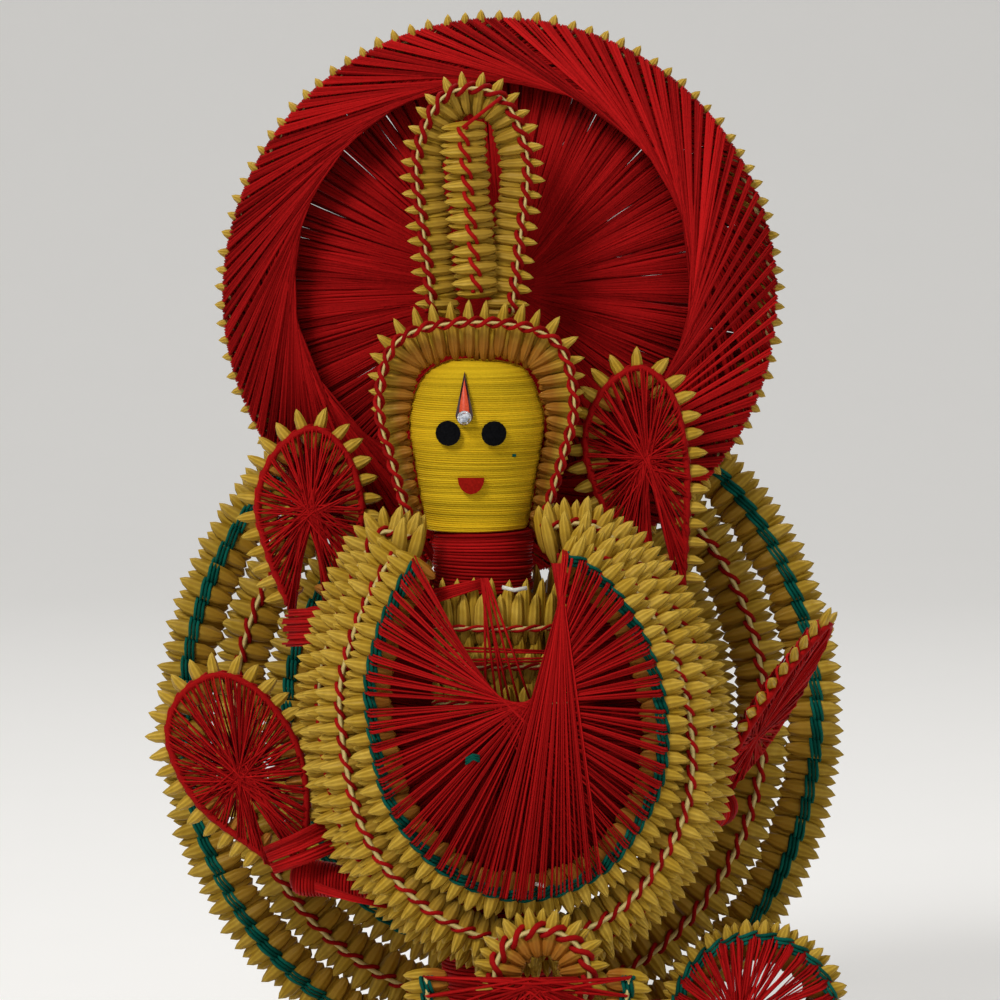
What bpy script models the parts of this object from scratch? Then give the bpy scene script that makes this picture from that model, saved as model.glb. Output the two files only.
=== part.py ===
"""Paddy straw Lakshmi figure, in metres, +Z up, front towards -Y.

Chains of unhusked rice grains, tied side by side along a straw strip with coloured
thread, are bent into rings, loops and arches. Some rings carry a fan of red thread.
The pieces lie in layers one behind the other, from the lap bowl at the front to the
wreath at the back. The figure sits on the flat underside of its coiled seat.
"""

import math

import bmesh
import bpy
from mathutils import Vector

MM = 0.001

# Clearance between pieces, and the grain chain
CLEARANCE = 0.3 * MM
GRAIN_PITCH = 3.3 * MM
COIL_PITCH = 4.2 * MM
GRAIN_ROOT = 1.5 * MM
CHAIN_DEPTH = 3.2 * MM
THREAD_SHEET = 0.6 * MM
THREAD_RIDGE = 0.35 * MM
WEB_SPACING = 4.2 * MM
WEB_CLEARANCE = 0.5 * MM
RIM_GRAIN_DEPTH = 0.5

# Head, neck and face
NECK_X = -3.2 * MM
NECK_RADIUS = 9.3 * MM
NECK_HEIGHT = 11.2 * MM
NECK_GROOVE = 0.5 * MM
NECK_TURNS = 5
HEAD_X = -4.3 * MM
HEAD_HEIGHT = 30.8 * MM
HEAD_CHIN_HALF_WIDTH = 9.4 * MM
HEAD_CHEEK_HALF_WIDTH = 12.5 * MM
HEAD_CROWN_HALF_WIDTH = 9.6 * MM
HEAD_TOP_HALF_WIDTH = 5.28 * MM
HEAD_DEPTH_SHARE = 0.92
HEAD_SIDES = 24
# Where the jaw, the cheeks and the crown of the head lie, and the levels of its rings,
# in shares of its height
JAW_LEVEL = 0.35
JAW_SHARE = 0.9
CHEEK_LEVEL = 0.68
CROWN_LEVEL = 0.93
HEAD_LEVELS = [0.0, 0.06, 0.18, 0.32, 0.46, 0.58, 0.7, 0.8, 0.88, 0.94, 0.98, 1.0]
EYE_RADIUS = 2.3 * MM
EYE_HEIGHT = 18.4 * MM
EYE_SPACING = 8.4 * MM
EYE_MIDDLE = -1.0 * MM
EYE_SIDES = 16
FELT = 0.8 * MM
MOUTH_WIDTH = 4.9 * MM
MOUTH_DROP = 3.0 * MM
MOUTH_HEIGHT = 10.2 * MM
MOUTH_SIDES = 8
MARK_WIDTH = 3.2 * MM
MARK_ASIDE = 1.2 * MM
MARK_ABOVE_EYES = 3.4 * MM
MARK_TIP_DROP = 1.2 * MM
MARK_LIFT = 0.6 * MM
MARK_SIDES = 10
MARK_SHOULDER = 0.45
STONE_RADIUS = 1.3 * MM
STONE_HEIGHT = 1.0 * MM
STONE_DROP = 0.4 * MM
STONE_SIDES = 12
# The setting and the stone's slope, as shares of the radius and of the height
STONE_PROFILE = [(1.0, 0.0), (1.0, 0.35), (0.6, 1.0)]

# Face arch and crown
ARCH_TOP_GAP = 7.7 * MM
ARCH_SIDE_GAP = 5.6 * MM
ARCH_CHEEK_GAP = 3.8 * MM
ARCH_FOOT_GAP = 2.4 * MM
ARCH_REACH = 4.6 * MM
ARCH_DEPTH = 3.6 * MM
ARCH_FORWARD = 3.6 * MM
# Levels of the arch's bends in shares of the head's height, and its shoulder over the head
ARCH_FOOT_LEVEL = 0.02
ARCH_CHEEK_LEVEL = 0.42
ARCH_SIDE_LEVEL = 0.78
ARCH_SHOULDER = (0.78, 0.6)
CROWN_X = -5.1 * MM
CROWN_HALF_WIDTH = 10.2 * MM
CROWN_FOOT_HALF_WIDTH = 7.6 * MM
CROWN_HEIGHT = 38.6 * MM
CROWN_REACH = 4.0 * MM
CROWN_INNER_REACH = 3.6 * MM
# The crown's left side from foot to top, in shares of its half width and height
CROWN_OUTLINE = [(-0.87, 0.3), (-1.0, 0.66), (-0.62, 0.93)]
SPINE_HEIGHT = 30.4 * MM
SPINE_REACH = 3.6 * MM
SPINE_LEAN = 1.9 * MM

# Halo
HALO_TIE_RADIUS = 50.6 * MM
HALO_REACH = 3.0 * MM
HALO_HOOP_WALL = 1.8 * MM
HALO_HOOP_DEPTH = 8.4 * MM
HALO_GRAIN_DEPTH = 0.15
HALO_ABOVE_CHIN = 42.3 * MM
HALO_BAND_INNER_RADIUS = 38.0 * MM
HALO_BAND_SWEEP = math.radians(42)
HALO_HUB_DEPTH = 6.0 * MM

# Body
TORSO_X = -0.5 * MM
TORSO_HALF_WIDTH = 15.6 * MM
TORSO_HALF_DEPTH = 13.0 * MM
TORSO_ROWS = 7
ROW_HEIGHT = 8.0 * MM
ROW_TIP_RISE = 2.2 * MM
TOP_TIP_RISE = 4.2 * MM
ROW_FLARE = 1.3 * MM
VALLEY_FLARE = 0.78 * MM
WAIST_RADIUS = 10.5 * MM
WAIST_SIDES = 20
SEAT_X = 2.3 * MM
SEAT_HALF_WIDTH = 25.0 * MM
SEAT_ROWS = 2

# Rings in front of the torso, open at the neck. An outline runs clockwise from its
# right shoulder round the bottom to its left shoulder, in shares of the half sizes
RING_OUTLINE = [(0.45, 0.9), (0.7, 0.68), (0.9, 0.34), (0.98, -0.08), (0.89, -0.46), (0.55, -0.85),
                (0.04, -1.0), (-0.47, -0.86), (-0.86, -0.46), (-1.0, 0.14), (-0.93, 0.5), (-0.79, 0.78)]
SHOULDER_RIGHT = (0.12, 0.92)
SHOULDER_LEFT = (-0.5, 0.88)
RING_HEIGHT = 76.6 * MM
TORSO_BELOW_RINGS = 34.4 * MM
RING_X = 3.3 * MM
RING_HALF_WIDTH = 26.8 * MM
RING_HALF_HEIGHT = 31.6 * MM
RING_REACH = 5.0 * MM
RING_INNER_REACH = 4.4 * MM
RING_STEP_OUT = 5.6 * MM
RING_STEP_DOWN = 3.6 * MM
REAR_RING_STEP = 1.9 * MM
NECKLINE_OUTLINE = [(1.0, 1.0), (0.96, 0.55), (0.72, 0.17), (0.24, 0.0), (-0.2, 0.1), (-0.65, 0.5),
                    (-1.15, 0.94)]
NECKLINE_HALF_WIDTH = 11.2 * MM
NECKLINE_HEIGHT = 23.4 * MM
NECKLINE_MIDDLE = -3.4 * MM
NECKLINE_BOTTOM = 2.8 * MM

# Hands, as grain loops with thread webs. Each has its wrist's place, the spot on the rings
# that its arm goes to, and how far behind the rings it lies
HAND_REACH = 4.4 * MM
RIM_WALL = 1.0 * MM
ARM_RADIUS = 2.6 * MM
WRIST_RADIUS = 3.6 * MM
BUNDLE_SIDES = 12
GRIP_DROP = 2.3 * MM
UPPER_LEFT_WRIST_X = -35.2 * MM
UPPER_LEFT_WRIST_HEIGHT = 94.0 * MM
UPPER_LEFT_SHOULDER_X = -30.0 * MM
UPPER_LEFT_SHOULDER_HEIGHT = 90.0 * MM
UPPER_LEFT_HALF_WIDTH = 9.9 * MM
UPPER_LEFT_LENGTH = 34.2 * MM
UPPER_LEFT_BACK = 12.6 * MM
UPPER_RIGHT_WRIST_X = 31.0 * MM
UPPER_RIGHT_WRIST_HEIGHT = 97.5 * MM
UPPER_RIGHT_SHOULDER_X = 32.0 * MM
UPPER_RIGHT_SHOULDER_HEIGHT = 92.0 * MM
UPPER_RIGHT_HALF_WIDTH = 9.4 * MM
UPPER_RIGHT_LENGTH = 42.0 * MM
UPPER_RIGHT_BACK = 12.6 * MM
LOWER_LEFT_WRIST_X = -38.6 * MM
LOWER_LEFT_WRIST_HEIGHT = 48.0 * MM
LOWER_LEFT_SHOULDER_X = -22.0 * MM
LOWER_LEFT_SHOULDER_HEIGHT = 42.0 * MM
LOWER_LEFT_HALF_WIDTH = 12.7 * MM
LOWER_LEFT_LENGTH = 35.2 * MM
LOWER_LEFT_BACK = 4.0 * MM
LOWER_RIGHT_WRIST_X = 42.0 * MM
LOWER_RIGHT_WRIST_HEIGHT = 60.0 * MM
LOWER_RIGHT_SHOULDER_X = 37.0 * MM
LOWER_RIGHT_SHOULDER_HEIGHT = 55.0 * MM
LOWER_RIGHT_HALF_WIDTH = 9.6 * MM
LOWER_RIGHT_LENGTH = 37.0 * MM
LOWER_RIGHT_BACK = 13.0 * MM
LOWER_RIGHT_TILT = math.radians(32.5)
LOWER_RIGHT_TURN = math.radians(70)

# Each hand: name, wrist, its arm's spot on the rings, distance behind them, half width and
# length, the loop's tie from one side of the wrist round to the other and the focus of its
# threads, both in shares of the half width and the length, tilt and turn
HANDS = [
    (
        "upper_left",
        (UPPER_LEFT_WRIST_X, UPPER_LEFT_WRIST_HEIGHT),
        (UPPER_LEFT_SHOULDER_X, UPPER_LEFT_SHOULDER_HEIGHT),
        UPPER_LEFT_BACK,
        (UPPER_LEFT_HALF_WIDTH, UPPER_LEFT_LENGTH),
        [(-0.42, 0.04), (-0.79, 0.31), (-1.0, 0.6), (-0.67, 0.86), (0.04, 1.0),
         (0.67, 0.86), (0.96, 0.57), (0.77, 0.31), (0.38, 0.04)],
        (0.0, 0.55), 0.0, 0.0,
    ),
    (
        "upper_right",
        (UPPER_RIGHT_WRIST_X, UPPER_RIGHT_WRIST_HEIGHT),
        (UPPER_RIGHT_SHOULDER_X, UPPER_RIGHT_SHOULDER_HEIGHT),
        UPPER_RIGHT_BACK,
        (UPPER_RIGHT_HALF_WIDTH, UPPER_RIGHT_LENGTH),
        [(-0.38, 0.04), (-1.17, 0.35), (-1.62, 0.65), (-1.28, 0.89), (-0.52, 1.0),
         (0.11, 0.87), (0.38, 0.58), (0.38, 0.29), (0.31, 0.04)],
        (-0.4, 0.6), 0.0, 0.0,
    ),
    (
        "lower_left",
        (LOWER_LEFT_WRIST_X, LOWER_LEFT_WRIST_HEIGHT),
        (LOWER_LEFT_SHOULDER_X, LOWER_LEFT_SHOULDER_HEIGHT),
        LOWER_LEFT_BACK,
        (LOWER_LEFT_HALF_WIDTH, LOWER_LEFT_LENGTH),
        [(-0.39, 0.04), (-1.34, 0.31), (-1.78, 0.64), (-1.62, 0.88), (-1.07, 1.0),
         (-0.47, 0.91), (0.05, 0.65), (0.22, 0.36), (0.16, 0.04)],
        (-0.76, 0.45), 0.0, 0.0,
    ),
    (
        "lower_right",
        (LOWER_RIGHT_WRIST_X, LOWER_RIGHT_WRIST_HEIGHT),
        (LOWER_RIGHT_SHOULDER_X, LOWER_RIGHT_SHOULDER_HEIGHT),
        LOWER_RIGHT_BACK,
        (LOWER_RIGHT_HALF_WIDTH, LOWER_RIGHT_LENGTH),
        [(-0.31, 0.02), (-0.88, 0.24), (-1.0, 0.49), (-0.67, 0.78), (0.0, 1.0),
         (0.67, 0.78), (1.0, 0.49), (0.88, 0.24), (0.31, 0.02)],
        (0.0, 0.32), LOWER_RIGHT_TILT, LOWER_RIGHT_TURN,
    ),
]

# Wreath behind the figure
WREATH_HEIGHT = 71.2 * MM
WREATH_HALF_WIDTH = 60.4 * MM
WREATH_HALF_HEIGHT = 65.0 * MM
WREATH_PITCH = 4.3 * MM
WREATH_REACH = 5.6 * MM
WREATH_INNER_REACH = 4.0 * MM

# Lap bowl, rosette and knee disc
ROSETTE_X = 7.6 * MM
ROSETTE_HEIGHT = 31.0 * MM
ROSETTE_RADIUS = 8.6 * MM
ROSETTE_REACH = 4.2 * MM
ROSETTE_INNER_REACH = 5.6 * MM
BOWL_X = 4.9 * MM
BOWL_HEIGHT = 31.6 * MM
BOWL_HALF_WIDTH = 18.2 * MM
BOWL_DROP = 20.0 * MM
BOWL_REACH = 4.8 * MM
BOWL_FOCUS_DROP = 2.0 * MM
BOWL_STEPS = 60
KNEE_HEIGHT = 20.4 * MM
KNEE_RADIUS = 14.4 * MM
KNEE_REACH = 3.8 * MM
KNEE_INNER_REACH = 4.6 * MM
KNEE_FOCUS_ASIDE = 2.9 * MM
KNEE_FOCUS_DROP = 1.4 * MM
KNEE_BUNDLE_RADIUS = 3.0 * MM
KNEE_BUNDLE_INSET = 4.3 * MM

# Layers worked out from front to back, and heights from the seat up
HALO_FRONT_Y = 0.0
HEAD_HALF_DEPTH = HEAD_CHEEK_HALF_WIDTH * HEAD_DEPTH_SHARE
HEAD_Y = HALO_FRONT_Y - CLEARANCE - HEAD_HALF_DEPTH
TORSO_Y = HALO_FRONT_Y - CLEARANCE - TORSO_HALF_DEPTH - ROW_FLARE
HALO_HOOP_Y = HALO_FRONT_Y + THREAD_SHEET + THREAD_RIDGE + CLEARANCE
WREATH_Y = HALO_HOOP_Y + HALO_HOOP_DEPTH + CLEARANCE
RING_PITCH_Y = CHAIN_DEPTH + CLEARANCE
REAR_RING_Y = HEAD_Y - NECK_RADIUS - CLEARANCE - CHAIN_DEPTH
BEHIND_RINGS_Y = REAR_RING_Y + CHAIN_DEPTH + CLEARANCE
WAIST_Y = BEHIND_RINGS_Y + WAIST_RADIUS
THIRD_RING_Y = REAR_RING_Y - RING_PITCH_Y
SECOND_RING_Y = THIRD_RING_Y - RING_PITCH_Y
FRONT_RING_Y = SECOND_RING_Y - RING_PITCH_Y
FAN_Y = FRONT_RING_Y - CLEARANCE - THREAD_SHEET
ROSETTE_Y = FAN_Y - THREAD_RIDGE - CLEARANCE - CHAIN_DEPTH
BOWL_Y = ROSETTE_Y - CLEARANCE - CHAIN_DEPTH
SEAT_HEIGHT = SEAT_ROWS * ROW_HEIGHT
WAIST_Z = SEAT_HEIGHT + CLEARANCE
TORSO_Z = RING_HEIGHT - TORSO_BELOW_RINGS
WAIST_HEIGHT = TORSO_Z - CLEARANCE - WAIST_Z
TORSO_HEIGHT = TORSO_ROWS * ROW_HEIGHT
NECK_Z = TORSO_Z + TORSO_HEIGHT + CLEARANCE
HEAD_Z = NECK_Z + NECK_HEIGHT + CLEARANCE
HALO_Z = HEAD_Z + HALO_ABOVE_CHIN
SEAT_BACK_Y = WREATH_Y - CLEARANCE
SEAT_FRONT_Y = BOWL_Y + CHAIN_DEPTH + CLEARANCE
SEAT_Y = (SEAT_FRONT_Y + SEAT_BACK_Y) / 2
SEAT_HALF_DEPTH = (SEAT_BACK_Y - SEAT_FRONT_Y) / 2 - ROW_FLARE

STRAW = (0.52, 0.33, 0.05)
SHADED_STRAW = (0.36, 0.2, 0.04)
RED_THREAD = (0.42, 0.01, 0.03)
YELLOW_THREAD = (0.75, 0.5, 0.03)
BLACK_FELT = (0.01, 0.01, 0.01)
RED_FELT = (0.5, 0.02, 0.02)
CLEAR_STONE = (0.75, 0.78, 0.82)


def clear_scene():
    for item in list(bpy.data.objects):
        bpy.data.objects.remove(item, do_unlink=True)


def material(name, color, roughness=0.6, metallic=0.0):
    made = bpy.data.materials.get(name) or bpy.data.materials.new(name)
    made.use_nodes = True
    surface = made.node_tree.nodes["Principled BSDF"]
    surface.inputs["Base Color"].default_value = (*color, 1.0)
    surface.inputs["Roughness"].default_value = roughness
    surface.inputs["Metallic"].default_value = metallic
    return made


def holder(name, location, parent, rotation=(0.0, 0.0, 0.0)):
    """An empty that places one assembly of pieces."""
    empty = bpy.data.objects.new(name, None)
    bpy.context.scene.collection.objects.link(empty)
    empty.parent = parent
    empty.location = location
    empty.rotation_euler = rotation
    return empty


def piece(name, mesh_data, surface, parent, location=(0.0, 0.0, 0.0), rotation=(0.0, 0.0, 0.0)):
    """Turns a bmesh into a named object with outward faces."""
    bmesh.ops.recalc_face_normals(mesh_data, faces=mesh_data.faces)
    bmesh.ops.triangulate(mesh_data, faces=mesh_data.faces)
    mesh = bpy.data.meshes.new(name)
    mesh_data.to_mesh(mesh)
    mesh_data.free()
    mesh.materials.append(surface)
    made = bpy.data.objects.new(name, mesh)
    bpy.context.scene.collection.objects.link(made)
    made.parent = parent
    made.location = location
    made.rotation_euler = rotation
    return made


def smooth_line(points, closed=False, steps=10):
    """Fine points along a Catmull-Rom curve through the given ones."""
    count = len(points)
    line = []
    for index in range(count if closed else count - 1):
        if closed:
            before, start, end, after = (points[(index + k) % count] for k in (-1, 0, 1, 2))
        else:
            start, end = points[index], points[index + 1]
            before = points[index - 1] if index else start * 2 - end
            after = points[index + 2] if index + 2 < count else end * 2 - start
        for step in range(steps):
            t = step / steps
            line.append(
                start
                + (end - before) * (0.5 * t)
                + (before * 2 - start * 5 + end * 4 - after) * (0.5 * t * t)
                + (start * 3 - end * 3 + after - before) * (0.5 * t * t * t)
            )
    if not closed:
        line.append(points[-1].copy())
    return line


def ellipse(half_width, half_height, centre=(0.0, 0.0), steps=360):
    """A clockwise ellipse seen from the front, starting at its left."""
    line = []
    for step in range(steps):
        angle = math.pi - math.tau * step / steps
        place = (centre[0] + half_width * math.cos(angle), centre[1] + half_height * math.sin(angle))
        line.append(Vector(place))
    return line


def spread(line, count, closed):
    """Places at equal distances along a line: count of them if closed, else count + 1."""
    points = line + [line[0]] if closed else line
    lengths = [0.0]
    for a, b in zip(points, points[1:]):
        lengths.append(lengths[-1] + (b - a).length)
    places = []
    segment = 0
    for index in range(count if closed else count + 1):
        goal = lengths[-1] * index / count
        while segment < len(points) - 2 and lengths[segment + 1] < goal:
            segment += 1
        span = lengths[segment + 1] - lengths[segment]
        places.append(points[segment].lerp(points[segment + 1], (goal - lengths[segment]) / span))
    return places


def outward(places, closed):
    """The normal at each place, to the left of a clockwise line."""
    count = len(places)
    normals = []
    for index in range(count):
        after = places[(index + 1) % count] if closed else places[min(index + 1, count - 1)]
        before = places[index - 1] if closed or index else places[0]
        along = (after - before).normalized()
        normals.append(Vector((-along.y, along.x)))
    return normals


def line_length(line, closed):
    ends = line[1:] + line[:1] if closed else line[1:]
    return sum((b - a).length for a, b in zip(line, ends))


def at_depth(place, depth):
    return Vector((place.x, depth, place.y))


def grain_chain(name, line, closed, reach, inner, parent, location, depth=CHAIN_DEPTH,
                pitch=GRAIN_PITCH, lean=0.0, color=STRAW):
    """A tied chain: a front ridge, with a zigzag of grain tips outside and inside.

    inner is the inner grains' reach, or a function of the place and its outward normal.
    """
    grains = max(3, round(line_length(line, closed) / pitch))
    places = spread(line, 2 * grains, closed)
    normals = outward(places, closed)
    made = bmesh.new()
    ridges, outers, inners = [], [], []
    for index, (place, normal) in enumerate(zip(places, normals)):
        tip = index % 2 == 1
        inner_reach = inner(place, normal) if callable(inner) else inner
        out = reach if tip else GRAIN_ROOT
        inward = inner_reach if tip else min(GRAIN_ROOT, inner_reach)
        back = depth + (lean if tip else 0.0)
        outers.append(made.verts.new(at_depth(place + normal * out, back)))
        inners.append(made.verts.new(at_depth(place - normal * inward, depth)))
        if not tip:
            ridges.append(made.verts.new(at_depth(place, 0.0)))
    for span in range(grains):
        a, b, c = 2 * span, 2 * span + 1, (2 * span + 2) % len(places)
        ridge, next_ridge = ridges[span], ridges[(span + 1) % len(ridges)]
        for side in (outers, inners):
            made.faces.new((ridge, side[a], side[b]))
            made.faces.new((ridge, side[b], next_ridge))
            made.faces.new((next_ridge, side[b], side[c]))
        made.faces.new((outers[a], outers[b], inners[b]))
        made.faces.new((outers[a], inners[b], inners[a]))
        made.faces.new((outers[b], outers[c], inners[c]))
        made.faces.new((outers[b], inners[c], inners[b]))
    if not closed:
        made.faces.new((ridges[0], outers[0], inners[0]))
        made.faces.new((ridges[-1], outers[-1], inners[-1]))
    return piece(name, made, material("straw_" + name, color), parent, location)


def rim_chain(name, line, closed, reach, wall, parent, location, depth=CHAIN_DEPTH,
              grain_depth=RIM_GRAIN_DEPTH):
    """A chain with grains outside only, on a plain rim that is wall thick inside."""
    grains = max(3, round(line_length(line, closed) / GRAIN_PITCH))
    places = spread(line, 2 * grains, closed)
    normals = outward(places, closed)
    made = bmesh.new()
    fronts, backs, outers = [], [], []
    for index, (place, normal) in enumerate(zip(places, normals)):
        tip = index % 2 == 1
        out = reach if tip else wall
        outers.append(made.verts.new(at_depth(place + normal * out, depth * grain_depth)))
        if not tip:
            fronts.append(made.verts.new(at_depth(place - normal * wall, 0.0)))
            backs.append(made.verts.new(at_depth(place - normal * wall, depth)))
    for span in range(grains):
        a, b, c = 2 * span, 2 * span + 1, (2 * span + 2) % len(places)
        after = (span + 1) % len(fronts)
        for side in (fronts, backs):
            made.faces.new((side[span], outers[a], outers[b]))
            made.faces.new((side[span], outers[b], side[after]))
            made.faces.new((side[after], outers[b], outers[c]))
        made.faces.new((fronts[span], fronts[after], backs[after], backs[span]))
    if not closed:
        made.faces.new((fronts[0], outers[0], backs[0]))
        made.faces.new((fronts[-1], outers[-1], backs[-1]))
    return piece(name, made, material("straw_" + name, STRAW), parent, location)


def thread_web(name, edge, focus, parent, location):
    """A thin sheet of threads from an outline to one focus, pleated like the strands."""
    made = bmesh.new()
    fronts, backs = [], []
    for index, place in enumerate(edge):
        raised = THREAD_RIDGE if index % 2 else 0.0
        fronts.append(made.verts.new(at_depth(place, -raised)))
        backs.append(made.verts.new(at_depth(place, THREAD_SHEET - raised)))
    near = made.verts.new(at_depth(focus, 0.0))
    far = made.verts.new(at_depth(focus, THREAD_SHEET))
    for index in range(len(edge)):
        after = (index + 1) % len(edge)
        made.faces.new((near, fronts[index], fronts[after]))
        made.faces.new((far, backs[index], backs[after]))
        made.faces.new((fronts[index], fronts[after], backs[after], backs[index]))
    return piece(name, made, material("thread_" + name, RED_THREAD), parent, location)


def thread_strip(name, outer, inner, closed, parent, location):
    """A pleated strip of threads from each outer place to the matching inner place."""
    made = bmesh.new()
    stations = []
    for index, (far, near) in enumerate(zip(outer, inner)):
        raised = THREAD_RIDGE if index % 2 else 0.0
        corners = [
            at_depth(far, -raised),
            at_depth(near, -raised),
            at_depth(near, THREAD_SHEET - raised),
            at_depth(far, THREAD_SHEET - raised),
        ]
        stations.append([made.verts.new(corner) for corner in corners])
    for index in range(len(stations) if closed else len(stations) - 1):
        here, after = stations[index], stations[(index + 1) % len(stations)]
        for k in range(4):
            made.faces.new((here[k], here[(k + 1) % 4], after[(k + 1) % 4], after[k]))
    if not closed:
        made.faces.new(stations[0])
        made.faces.new(stations[-1])
    return piece(name, made, material("thread_" + name, RED_THREAD), parent, location)


def inset_line(line, distance, closed, spacing=WEB_SPACING):
    """Evenly spaced places inside a clockwise line, an even number of them."""
    count = 2 * max(4, round(line_length(line, closed) / spacing / 2))
    places = spread(line, count, closed)
    return [p - n * distance for p, n in zip(places, outward(places, closed))]


def turned_body(name, rings, sides, surface, parent, location):
    """A closed body from (height, half width, half depth) rings."""
    made = bmesh.new()
    loops = []
    for height, half_width, half_depth in rings:
        loop = []
        for side in range(sides):
            angle = math.tau * side / sides
            loop.append(made.verts.new((half_width * math.cos(angle), half_depth * math.sin(angle), height)))
        loops.append(loop)
    for lower, upper in zip(loops, loops[1:]):
        for side in range(sides):
            after = (side + 1) % sides
            made.faces.new((lower[side], lower[after], upper[after], upper[side]))
    made.faces.new(loops[0])
    made.faces.new(loops[-1])
    return piece(name, made, surface, parent, location)


def coiled_rows(name, rows, half_width, half_depth, parent, location, top_rise=0.0):
    """A long grain chain wound in rows: each row flares to a zigzag of upright tips."""
    around = math.pi * (half_width + half_depth)
    grains = max(6, round(around / COIL_PITCH))
    made = bmesh.new()

    def ring(height, flare, phase):
        loop = []
        for grain in range(grains):
            angle = math.tau * (grain + phase) / grains
            across = (half_width + flare) * math.cos(angle)
            loop.append(made.verts.new((across, (half_depth + flare) * math.sin(angle), height)))
        return loop

    grooves = [ring(row * ROW_HEIGHT, 0.0, 0.0) for row in range(rows + 1)]
    made.faces.new(grooves[0])
    for row in range(rows):
        top = (row + 1) * ROW_HEIGHT
        valleys = ring(top - ROW_TIP_RISE, VALLEY_FLARE, 0.0)
        rise = top_rise if row == rows - 1 else ROW_TIP_RISE
        tips = ring(top + rise, ROW_FLARE, 0.5)
        for here in range(grains):
            after = (here + 1) % grains
            made.faces.new((grooves[row][here], grooves[row][after], valleys[after], valleys[here]))
            made.faces.new((valleys[here], valleys[after], tips[here]))
            made.faces.new((valleys[after], grooves[row + 1][after], tips[here]))
            made.faces.new((valleys[here], tips[here], grooves[row + 1][here]))
            made.faces.new((grooves[row + 1][here], tips[here], grooves[row + 1][after]))
    made.faces.new(grooves[-1])
    return piece(name, made, material("straw_" + name, SHADED_STRAW), parent, location)


def head_half_width(height):
    """Half the head's width at a height above the chin."""
    shares = smooth_line(
        [
            Vector((0.0, HEAD_CHIN_HALF_WIDTH)),
            Vector((JAW_LEVEL * HEAD_HEIGHT, JAW_SHARE * HEAD_CHEEK_HALF_WIDTH)),
            Vector((CHEEK_LEVEL * HEAD_HEIGHT, HEAD_CHEEK_HALF_WIDTH)),
            Vector((CROWN_LEVEL * HEAD_HEIGHT, HEAD_CROWN_HALF_WIDTH)),
            Vector((HEAD_HEIGHT, HEAD_TOP_HALF_WIDTH)),
        ]
    )
    for low, high in zip(shares, shares[1:]):
        if low.x <= height <= high.x:
            return low.lerp(high, (height - low.x) / (high.x - low.x)).y
    return shares[0].y if height < 0 else shares[-1].y


def head_front(across, height):
    """Depth of the head's front surface from its middle, at a place on the face."""
    half_width = head_half_width(height)
    share = min(0.98, abs(across) / half_width)
    return -half_width * HEAD_DEPTH_SHARE * math.sqrt(1 - share * share)


def build_head(figure):
    place = (HEAD_X, HEAD_Y, HEAD_Z)
    rings = []
    for share in HEAD_LEVELS:
        half_width = head_half_width(share * HEAD_HEIGHT)
        rings.append((share * HEAD_HEIGHT, half_width, half_width * HEAD_DEPTH_SHARE))
    yellow = material("yellow_thread", YELLOW_THREAD, 0.45)
    turned_body("wound_head", rings, HEAD_SIDES, yellow, figure, place)
    build_neck(figure)
    build_face(holder("face", place, figure))


def build_neck(figure):
    rings = [(0.0, NECK_RADIUS - NECK_GROOVE, NECK_RADIUS - NECK_GROOVE)]
    for turn in range(NECK_TURNS):
        for share, radius in ((0.5, NECK_RADIUS), (1.0, NECK_RADIUS - NECK_GROOVE)):
            rings.append((NECK_HEIGHT * (turn + share) / NECK_TURNS, radius, radius))
    red = material("red_thread", RED_THREAD, 0.5)
    turned_body("wound_neck", rings, HEAD_SIDES, red, figure, (NECK_X, HEAD_Y, NECK_Z))


def face_patch(name, outline, surface, parent, lift=CLEARANCE):
    """A felt piece that follows the head's front, from an outline in width and height."""
    middle = sum(outline, Vector((0.0, 0.0))) / len(outline)
    made = bmesh.new()
    loops = []
    for level in (lift, lift + FELT):
        loops.append([made.verts.new(at_depth(p, head_front(p.x, p.y) - level)) for p in outline])
    centres = []
    for level in (lift, lift + FELT):
        centres.append(made.verts.new(at_depth(middle, head_front(middle.x, middle.y) - level)))
    for index in range(len(outline)):
        after = (index + 1) % len(outline)
        for loop, centre in zip(loops, centres):
            made.faces.new((loop[index], loop[after], centre))
        made.faces.new((loops[0][index], loops[0][after], loops[1][after], loops[1][index]))
    return piece(name, made, surface, parent)


def build_face(face):
    black = material("black_felt", BLACK_FELT, 0.9)
    red = material("red_felt", RED_FELT, 0.9)
    for name, side in (("left_eye", -1), ("right_eye", 1)):
        centre = (EYE_MIDDLE + side * EYE_SPACING / 2, EYE_HEIGHT)
        face_patch(name, ellipse(EYE_RADIUS, EYE_RADIUS, centre, EYE_SIDES), black, face)
    half = MOUTH_WIDTH / 2
    smile = []
    for step in range(MOUTH_SIDES + 1):
        angle = math.pi + math.pi * step / MOUTH_SIDES
        across = EYE_MIDDLE - half * math.cos(angle)
        smile.append(Vector((across, MOUTH_HEIGHT + MOUTH_DROP * math.sin(angle))))
    face_patch("mouth", smile, red, face)
    mark = Vector((EYE_MIDDLE - MARK_ASIDE, EYE_HEIGHT + MARK_ABOVE_EYES))
    build_forehead_mark(mark, face, red)
    build_forehead_stone(mark - Vector((0.0, STONE_DROP)), face)


def build_forehead_mark(middle, face, surface):
    """A drop with its point up, from the middle of its round end."""
    radius = MARK_WIDTH / 2
    drop = []
    for step in range(MARK_SIDES + 1):
        angle = math.pi * step / MARK_SIDES
        drop.append(middle - Vector((radius * math.cos(angle), radius * math.sin(angle))))
    tip = Vector((middle.x, HEAD_HEIGHT - MARK_TIP_DROP))
    shoulders = [drop[-1].lerp(tip, MARK_SHOULDER), tip, drop[0].lerp(tip, MARK_SHOULDER)]
    face_patch("forehead_mark", drop + shoulders, surface, face, MARK_LIFT)


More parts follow.
